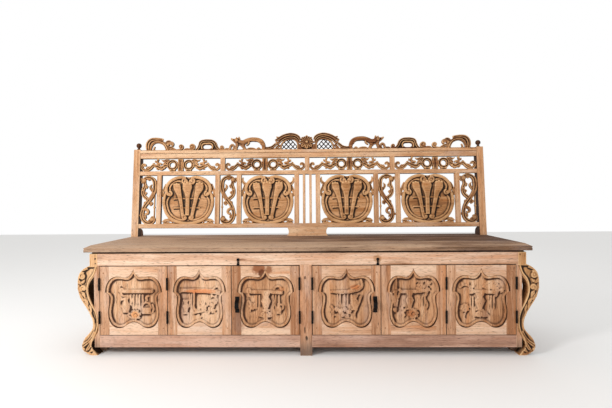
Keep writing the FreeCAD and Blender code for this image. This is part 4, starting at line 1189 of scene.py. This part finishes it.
# Front legs: the block stays a plain board, the knee and the foot are carved

leg = {
    "cut": 5.5,                         # depth of the ground between the carved lobes
    "back": 64.0,
    "blockFoot": 404.0,
    "voxel": 1.9,
    "deepAt": 40.0,
    "chisel": 0.18,
}


def frontLeg(name, side):
    work = Carving(leg["cut"], leg["back"])
    work.takeNode(name, flatPlace, leg["blockFoot"], leg["cut"], side)
    # all of it is drawn for the right leg: x outwards
    work.strand([(953, 402), (963, 372), (984, 342), (993, 304), (989, 270), (973, 230), (955, 195),
                 (948, 152), (954, 112), (973, 72), (985, 50)], 3.2, "round", 2.0, thick=6)
    # the knee: an upper curl, two rosettes and the leaves that run down
    work.volute(1014, 362, 15, 120, 1.3, -1, 5.0, 2.0)
    work.strand([(990, 398), (1004, 393), (1020, 386), (1031, 370), (1033, 350)], [5, 6, 6, 6, 4],
                "leaf", 1.5, thick=6)
    work.volute(1010, 306, 13, -60, 1.2, 1, 4.6, 2.0)
    work.leaves([
        (7, (1034, 352), (1029, 334), (1018, 322)), (6, (1004, 345), (1013, 334), (1026, 330)),
        (7, (1030, 322), (1031, 304), (1024, 288)), (8, (1020, 292), (1010, 280), (1004, 262)),
        (7, (1027, 284), (1020, 266), (1006, 248)), (7, (1008, 258), (996, 244), (990, 226)),
        (6, (998, 236), (992, 220), (990, 200)), (5, (984, 232), (978, 214), (976, 190)),
        (5.5, (986, 206), (978, 186), (970, 168)), (4.5, (972, 178), (966, 160), (964, 140)),
    ], level=1.5)
    # the foot: three rolled lobes over the toe
    work.strand([(962, 108), (974, 84), (990, 64), (1006, 52), (1020, 40), (1022, 24), (1010, 14)],
                [5, 6, 7, 8, 9, 9, 7], "leaf", 1.0, thick=6)
    work.leafAlong([(956, 64), (964, 44), (974, 26), (986, 16)], 8, level=1.5)
    work.leafAlong([(972, 60), (984, 44), (994, 30), (1004, 22)], 8, level=1.5)
    work.ball(1014, 30, 9, 0.0)
    work.keepInside()
    if side < 0:
        work.mirror()
    return work.finish(name + "_carved", name, legTeak, flatPlace, slot="leg_wood", voxel=leg["voxel"],
                       grainTurn=True, deepAt=leg["deepAt"], rounds=1, chisel=leg["chisel"])


# Door panels: low reliefs of household vessels under a scroll bar, inside a beaded cartouche

door = {
    "panelFront": 6.0,                  # depths behind the door's face
    "panelBack": 13.0,
    "margin": 24.0,                     # from the leaf's edge to the cartouche
    "headMargin": 13.0,
    "footMargin": 30.0,
    "lap": 9.0,                         # how far the panel runs behind the cartouche
    "headClip": 50.0,                   # its corners are cut off, to clear the joints
    "footClip": 35.0,
    "beadInset": 9.0,
    "beadWidth": 4.2,
    "beadFoot": 0.10,                   # height of the bead's lowest middle point, as a share
    "voxel": 2.2,
    "deepAt": 8.0,
    "chisel": 0.3,
    "rub": 0.3,
    "cut": 0.75,
}
# half of the cartouche, as shares of its half width and of its height
cartouche = [(0, 1), (0.10, 0.91), (0.22, 0.865), (0.48, 0.875), (0.72, 0.865), (0.92, 0.77),
             (1, 0.61), (0.86, 0.55), (0.84, 0.47), (0.88, 0.36), (0.90, 0.24), (0.85, 0.12),
             (0.68, 0.02), (0.40, 0.01), (0.20, 0.07)]
cartoucheNick = 6                       # which of its points is the sharp nick at the waist


# turned outlines: height and half width, as shares of a vessel's height and width
jugOutline = [(0, 0.34), (0.12, 0.42), (0.38, 0.56), (0.62, 0.4), (0.8, 0.24), (1, 0.34)]
vaseOutline = [(0, 0.36), (0.1, 0.22), (0.3, 0.34), (0.55, 0.54), (0.8, 0.3), (1, 0.46)]


def within(x, z, wide, tall):
    # turns shares of a vessel's width and height into places
    return lambda *shares: [(x + wide * across, z + tall * up) for across, up in shares]


class Relief(Carving):
    # vessels and flowers: x from the panel's middle, z from the floor

    def vessel(self, x, z, wide, tall, outline, level):
        self.strand([(x, z + tall * up) for up, _ in outline], [wide * w for _, w in outline],
                    "torch", level)

    def jug(self, x, z, wide, tall, side=1):
        self.vessel(x, z, wide, tall, jugOutline, 1.2)
        at = within(x, z, side * wide, tall)
        self.strand(at((0.3, 0.9), (0.78, 0.8), (0.8, 0.5), (0.45, 0.35)), 2.4, "round", 1.0)
        self.strand(at((-0.4, 0.45), (-0.7, 0.7), (-0.85, 0.92)), [3.2, 2.6, 2.2], "round", 1.0)
        at = within(x, z, wide, tall)
        self.strand(at((-0.5, 0.4), (0, 0.36), (0.5, 0.4)), 1.8, "round", 4.0)

    def vase(self, x, z, wide, tall):
        self.vessel(x, z, wide, tall, vaseOutline, 1.4)
        self.strand([(x - wide * 0.42, z + tall), (x + wide * 0.42, z + tall)], 2.4, "round", 3.0)
        self.strand([(x - wide * 0.36, z + 1), (x + wide * 0.36, z + 1)], 2.4, "round", 2.0)

    def basket(self, x, z, wide, tall):
        self.strand([(x, z), (x, z + tall * 0.6)], [wide * 0.4, wide * 0.52], "torch", 1.0)
        for i in range(4):
            level = z + tall * (0.08 + 0.16 * i)
            self.strand([(x - wide * 0.44, level), (x, level - 2), (x + wide * 0.44, level)], 1.7,
                        "round", 3.2)
        at = within(x, z, wide, tall)
        self.strand(at((-0.45, 0.6), (-0.32, 0.95), (0, 1.08), (0.32, 0.95), (0.45, 0.6)), 2.4,
                    "round", 1.5)

    def flower(self, x, z, radius, petals=6, level=1.5):
        for i in range(petals):
            angle = 2 * math.pi * (i + 0.25) / petals
            along = [(x + radius * share * math.cos(angle), z + radius * share * math.sin(angle))
                     for share in (0.25, 0.65, 1.0)]
            self.strand(along, [radius * 0.2, radius * 0.36, radius * 0.2], "round", level)
        self.ball(x, z, radius * 0.3, level + 2.0)

    def bar(self, x0, x1, z, drop=0.0, curl=-1):
        # the scroll bar with a roll at one end and a knob at the other
        ends = (x0, x1) if curl < 0 else (x1, x0)
        self.strand([(x0, z), ((x0 + x1) / 2, z - 1), (x1, z - drop)], 7.5, "ribbed", 0.6)
        self.volute(ends[0], z + 3, 11, 0, 1.1, 1, 3.6, 2.0)
        self.ball(ends[1], z - drop, 6.5, 2.0)
        self.strand([(ends[0], z - 6), (ends[0] - curl * 5, z - 18), (ends[0] - curl * 14, z - 22)],
                    [4, 4, 2], "round", 1.0)

    def drape(self, xs, top, foot):
        for i, x in enumerate(xs):
            self.strand([(x, top), (x + (-1) ** i * 1.5, (top + foot) / 2), (x, foot)], [2.2, 3.2, 1.6],
                        "round", 0.6)

    def branch(self, points, leaves=4, wide=5.0):
        self.strand(points, [2.6, 2.2, 1.8], "round", 1.4)
        for i in range(leaves):
            share = (i + 0.5) / leaves * (len(points) - 1)
            k = min(int(share), len(points) - 2)
            x = points[k][0] + (points[k + 1][0] - points[k][0]) * (share - k)
            z = points[k][1] + (points[k + 1][1] - points[k][1]) * (share - k)
            turn = (-1) ** i
            self.leafAlong([(x, z), (x + turn * wide, z + wide * 1.2),
                            (x + turn * wide * 1.5, z + wide * 2.2)], wide * 0.7, level=1.6)

    def fan(self, x, z, radius, start, end, ribs=7):
        for i in range(ribs):
            angle = math.radians(start + (end - start) * i / (ribs - 1))
            self.strand([(x + radius * 0.15 * math.cos(angle), z + radius * 0.15 * math.sin(angle)),
                         (x + radius * math.cos(angle), z + radius * math.sin(angle))],
                        [1.6, radius * 0.11], "round", 1.2)
        self.strand([(x + radius * math.cos(math.radians(a)), z + radius * math.sin(math.radians(a)))
                     for a in (start, (start + end) / 2, end)], 2.2, "round", 2.2)


def reliefA(work):
    work.bar(-58, 82, 292, curl=-1)
    work.strand([(-66, 306), (-60, 318), (-44, 314)], [3, 4, 2], "round", 1.5)
    work.jug(-36, 196, 34, 66, side=-1)
    work.drape((-14, 0, 13, 26, 40), 276, 222)
    work.flower(8, 184, 22, 7)
    work.branch([(-6, 168), (-22, 178), (-30, 186)], 3)
    work.basket(58, 190, 44, 46)
    work.strand([(84, 232), (90, 214), (84, 196)], [3, 4, 2], "round", 1.5)
    work.branch([(52, 240), (60, 254), (58, 268)], 3)


def reliefB(work):
    work.strand([(-82, 296), (-20, 294), (60, 290), (92, 282)], [7, 9, 10, 8], "ribbed", 0.8)
    work.strand([(60, 300), (84, 312), (92, 300)], [3, 4, 3], "round", 1.5)
    work.strand([(-24, 284), (-24, 250), (-24, 214), (-10, 202)], [3.6, 3.4, 3.6, 3], "round", 2.0)
    work.drape((-46, -36), 280, 216)
    work.vase(-62, 190, 26, 60)
    work.branch([(-30, 192), (2, 198), (26, 204)], 4)
    work.flower(18, 220, 15, 6)
    work.flower(-6, 172, 13, 6)
    work.branch([(40, 192), (56, 214), (70, 236)], 5, 6)
    work.branch([(46, 262), (62, 268), (74, 262)], 3)
    work.flower(62, 202, 10, 5)


def reliefC(work):
    work.bar(-78, 70, 288, drop=4, curl=-1)
    work.strand([(38, 300), (50, 311), (64, 310), (72, 298)], [3, 4, 4, 3], "round", 1.5)
    work.vase(2, 204, 42, 76)
    work.drape((34, 46, 60), 274, 206)
    work.drape((-28, -40), 272, 214)
    work.branch([(-72, 200), (-66, 222), (-72, 244)], 4)
    work.flower(-54, 222, 14, 6)
    work.jug(60, 190, 22, 44)
    work.fan(2, 170, 30, 20, 160, 7)
    work.strand([(-6, 158), (2, 170), (10, 158)], 3.2, "round", 2.0)


def reliefD(work):
    work.strand([(-68, 288), (-20, 286), (30, 292), (64, 306), (70, 322), (64, 342)],
                [5, 8, 8, 7, 5, 4], "ribbed", 0.8)
    work.strand([(20, 300), (44, 308), (58, 318)], [3, 4, 3], "round", 1.8)
    work.drape((-40, -28, -8, 6, 22), 276, 226)
    work.vase(36, 206, 32, 62)
    work.strand([(66, 268), (58, 240), (50, 224), (44, 206), (36, 186), (38, 166)], [4, 3, 4, 3, 3.5, 2],
                "round", 1.8)
    for x, z, radius in ((-44, 208, 10), (-26, 200, 12), (-8, 206, 11), (10, 196, 11),
                         (-16, 184, 9), (2, 178, 9)):
        work.flower(x, z, radius, 6)
    work.branch([(-62, 170), (-58, 196), (-62, 220)], 4)


def reliefE(work):
    work.bar(-60, 60, 288, drop=-6, curl=1)
    work.strand([(-76, 350), (-75, 324), (-76, 300)], 2.6, "round", 1.5)
    work.jug(-80, 222, 24, 68, side=-1)
    work.strand([(-82, 214), (-82, 206), (-80, 196)], [7, 9, 4], "round", 1.5)
    work.vase(-16, 208, 32, 74)
    work.flower(34, 306, 20, 6)
    work.branch([(36, 284), (52, 296), (66, 316)], 4)
    work.flower(66, 322, 11, 5)
    work.drape((28, 40, 52), 266, 214)
    work.flower(0, 188, 22, 8)
    work.strand([(-6, 160), (0, 174), (6, 160)], 3.2, "round", 2.0)
    work.branch([(-46, 170), (-44, 196), (-50, 222)], 5)
    work.strand([(56, 246), (62, 226), (54, 204)], [3, 4, 2], "round", 1.5)


def reliefF(work):
    work.bar(-40, 72, 286, drop=3, curl=1)
    work.fan(46, 292, 40, 25, 155, 8)
    work.branch([(-92, 306), (-70, 316), (-44, 306), (-30, 286)], 6, 7)
    work.vase(-4, 204, 44, 74)
    work.flower(-70, 214, 19, 8)
    work.strand([(-70, 190), (-74, 172), (-70, 160)], 2.4, "round", 1.0)
    work.fan(4, 172, 30, 15, 165, 9)
    work.drape((34, 46, 58), 268, 204)
    work.drape((-36, -46), 262, 214)
    work.flower(92, 292, 10, 6)


def doorPanel(letter, relief):
    work = Relief(door["panelFront"], door["panelBack"])
    low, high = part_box(f"door_{letter}_frame")
    middle, half = (low.x + high.x) / 2 / mm, (high.x - low.x) / 2 / mm - door["margin"]
    foot, head = low.z / mm + door["footMargin"], high.z / mm - door["headMargin"]
    near, far = half + door["lap"], (foot - door["lap"], head + door["lap"])
    headClip, footClip = door["headClip"], door["footClip"]
    corners = [(near, far[0] + footClip), (near, far[1] - headClip), (near - headClip, far[1]),
               (headClip - near, far[1]), (-near, far[1] - headClip), (-near, far[0] + footClip),
               (footClip - near, far[0]), (near - footClip, far[0])]
    work.plate([[(x, z, "corner") for x, z in corners]], bevel=0.5)
    wide, rise = half - door["beadInset"], head - foot - 2 * door["beadInset"]
    start = foot + door["beadInset"]
    right = [(x * wide, start + z * rise) for x, z in cartouche]
    ring = right + [(0, start + door["beadFoot"] * rise)] + [(-x, z) for x, z in reversed(right[1:])]
    nicks = (0, cartoucheNick, len(ring) - cartoucheNick)
    work.strand(ring, door["beadWidth"], "round", 2.0, cyclic=True, corners=nicks)
    relief(work)
    work.shift(middle, 0)
    work.finish(f"door_{letter}_relief", f"door_{letter}_panel", panelTeak, flatPlace,
                slot="door_panel_wood", voxel=door["voxel"], body=f"door_{letter}", grainTurn=True,
                deepAt=door["deepAt"], chisel=door["chisel"], rub=door["rub"], cut=door["cut"])


# Painted shade and tones of the boards. The painted shade is given from a face's middle and normal.

paintedShade = {
    "doorFlat": 0.7,                    # faces that look more forwards than this stay unshaded
    "doorRim": 0.004,
    "openingWall": -1.5,
    "openingLeast": 0.2,
    "leafEdge": -1.4,
    "postInside": -1.8,
    "postFrom": 0.9,                    # metres from the middle, where the end posts start
    "underside": -1.1,
    "rightSide": -0.9,
    "rightUntil": 0.2,
    "hidden": -0.8,                     # painted shade on the door stops and bearers, in the gaps
    "seatFoot": -2.0,
    "seatFootBelow": 0.024,             # metres under the seat's top
    "seatEdge": -0.2,
    "seatEdgeBelow": 0.008,
}
tones = {
    "peg": -2.6,
    "pegSize": 0.012,
    "stile": -0.4,
    "stileLength": 0.25,
    "doorRail": 0.55,
    "doorSpread": 0.25,
    "backFrame": 0.25,
    "apron": 0.3,
    "bottomRail": 0.2,
    "seatSlope": -2.4,                  # darker towards the back, a metre
    "seatFrom": 0.02,
    # painted shade: how much darker the seat is a metre further right
    "seatPaintedShade": 1.1,
}


def evenTone(key):
    return lambda middle, size: tones[key]


def doorTones(middle, size):
    # pegs are dark, rails paler than stiles
    if max(size.x, size.z) < tones["pegSize"]:
        return tones["peg"]
    return tones["stile" if size.z > tones["stileLength"] else "doorRail"]


def openingShade(leaf):
    # painted shade on the wall of the shaped opening, heaviest on the sides that face right and down,
    # away from the light, and all along the leaf's outer edges, in the gaps between leaves
    low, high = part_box(leaf)
    rim = paintedShade["doorRim"]

    def shadeAt(p, normal):
        if abs(normal.y) > paintedShade["doorFlat"]:
            return 0.0
        inside = low.x + rim < p.x < high.x - rim and low.z + rim < p.z < high.z - rim
        shadowSide = normal.x * 0.8 - normal.z * 0.6
        return paintedShade["openingWall"] * max(paintedShade["openingLeast"], shadowSide) if inside else paintedShade["leafEdge"]
    return shadeAt


def inwardShade(p, normal):
    # painted shade: the faces of the end posts that look inwards are painted nearly black, and so are
    # the undersides of the rails and the right-hand sides of the uprights, which face away from the
    # light
    if abs(normal.x) > 0.9 and normal.x * p.x < 0 and abs(p.x) > paintedShade["postFrom"]:
        return paintedShade["postInside"]
    if normal.z < -0.9:
        return paintedShade["underside"]
    return paintedShade["rightSide"] if normal.x > 0.9 and p.x < paintedShade["rightUntil"] else 0.0


def hiddenShade(p, normal):
    # painted shade on the door stops and seat bearers in the gaps
    return paintedShade["hidden"]


def seatShade(p, normal):
    # painted shade: the seat's foot and underside are nearly black, where the gap below it is in shadow,
    # and its upright edge is a little darker brown
    if p.z < seatTop - paintedShade["seatFootBelow"] and normal.z < 0.9:
        return paintedShade["seatFoot"]
    isEdge = abs(normal.z) < 0.75 and p.z < seatTop - paintedShade["seatEdgeBelow"]
    return paintedShade["seatEdge"] if isEdge else 0.0


addCamera()
addStudio()
print("camera and studio placed")

backNodes = ["back_post_left", "back_post_right", "lower_rail", "middle_rail", "top_rail",
             "cap_moulding", "frieze_muntins", "back_stiles", "back_spindles", "back_pedestal"]
for node in backNodes:
    boards(node, frameTeak, place=leanPlace, toneOf=evenTone("backFrame"),
           grimeAndShade=inwardShade)
# painted shade: the foot brackets are coloured near black
boards("foot_brackets", darkTeakAndShade, place=leanPlace)
boards("finials", darkTeakAndShade, place=leanPlace, ease=0, turned=True)
boards("front_apron", apronTeak, toneOf=evenTone("apron"))
boards("bottom_rails", railTeak, toneOf=evenTone("bottomRail"))
for node in ["corner_post_left", "corner_post_right", "centre_post"]:
    boards(node, footTeak)
for node in ["rear_posts", "side_rails", "side_panels", "rear_rails", "back_boards", "cabinet_floor",
             "partition", "door_stops", "seat_bearers"]:
    boards(node, sawnTeak, grainAxis=2 if node == "back_boards" else None,
           grimeAndShade=hiddenShade if node in ("seat_bearers", "door_stops") else None)
boards("seat_boards", seatTeak, ease=1.0, grimeAndShade=seatShade, rightShade=tones["seatPaintedShade"],
       toneOf=lambda middle, size: tones["seatSlope"] * (middle.y - tones["seatFrom"]))
for letter in "abcdef":
    boards(f"door_{letter}_frame", stainedTeak if letter == "c" else rawTeak, body=f"door_{letter}",
           ease=0.9, toneOf=doorTones, spread=tones["doorSpread"],
           grimeAndShade=openingShade(f"door_{letter}_frame"))
print("boards made")

for node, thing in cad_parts.items():
    if "hinges" in node or "handle" in node or "button" in node:
        thing.data.materials.clear()
        thing.data.materials.append(blackIron)

crestWing(-1)
crestWing(1)
crestMiddle()
print("crest carved")
for number, middle in enumerate(frieze["middles"], 1):
    friezePanel(number, middle)
outer, inner = scrollPanel["outer"], scrollPanel["inner"]
edges = [(-outer, 1), (-inner + scrollPanel["width"], -1), (inner, -1),
         (outer - scrollPanel["lastWidth"], 1)]
for number, (edge, way) in enumerate(edges, 1):
    scrollWork(number, edge, way)
for number, middle in enumerate(medallion["middles"], 1):
    medallionDisc(number, middle)
frontLeg("front_leg_left", -1)
frontLeg("front_leg_right", 1)
print("friezes, scrolls, medallions and legs carved")
for letter, relief in zip("abcdef", (reliefA, reliefB, reliefC, reliefD, reliefE, reliefF)):
    doorPanel(letter, relief)
print("door reliefs carved")
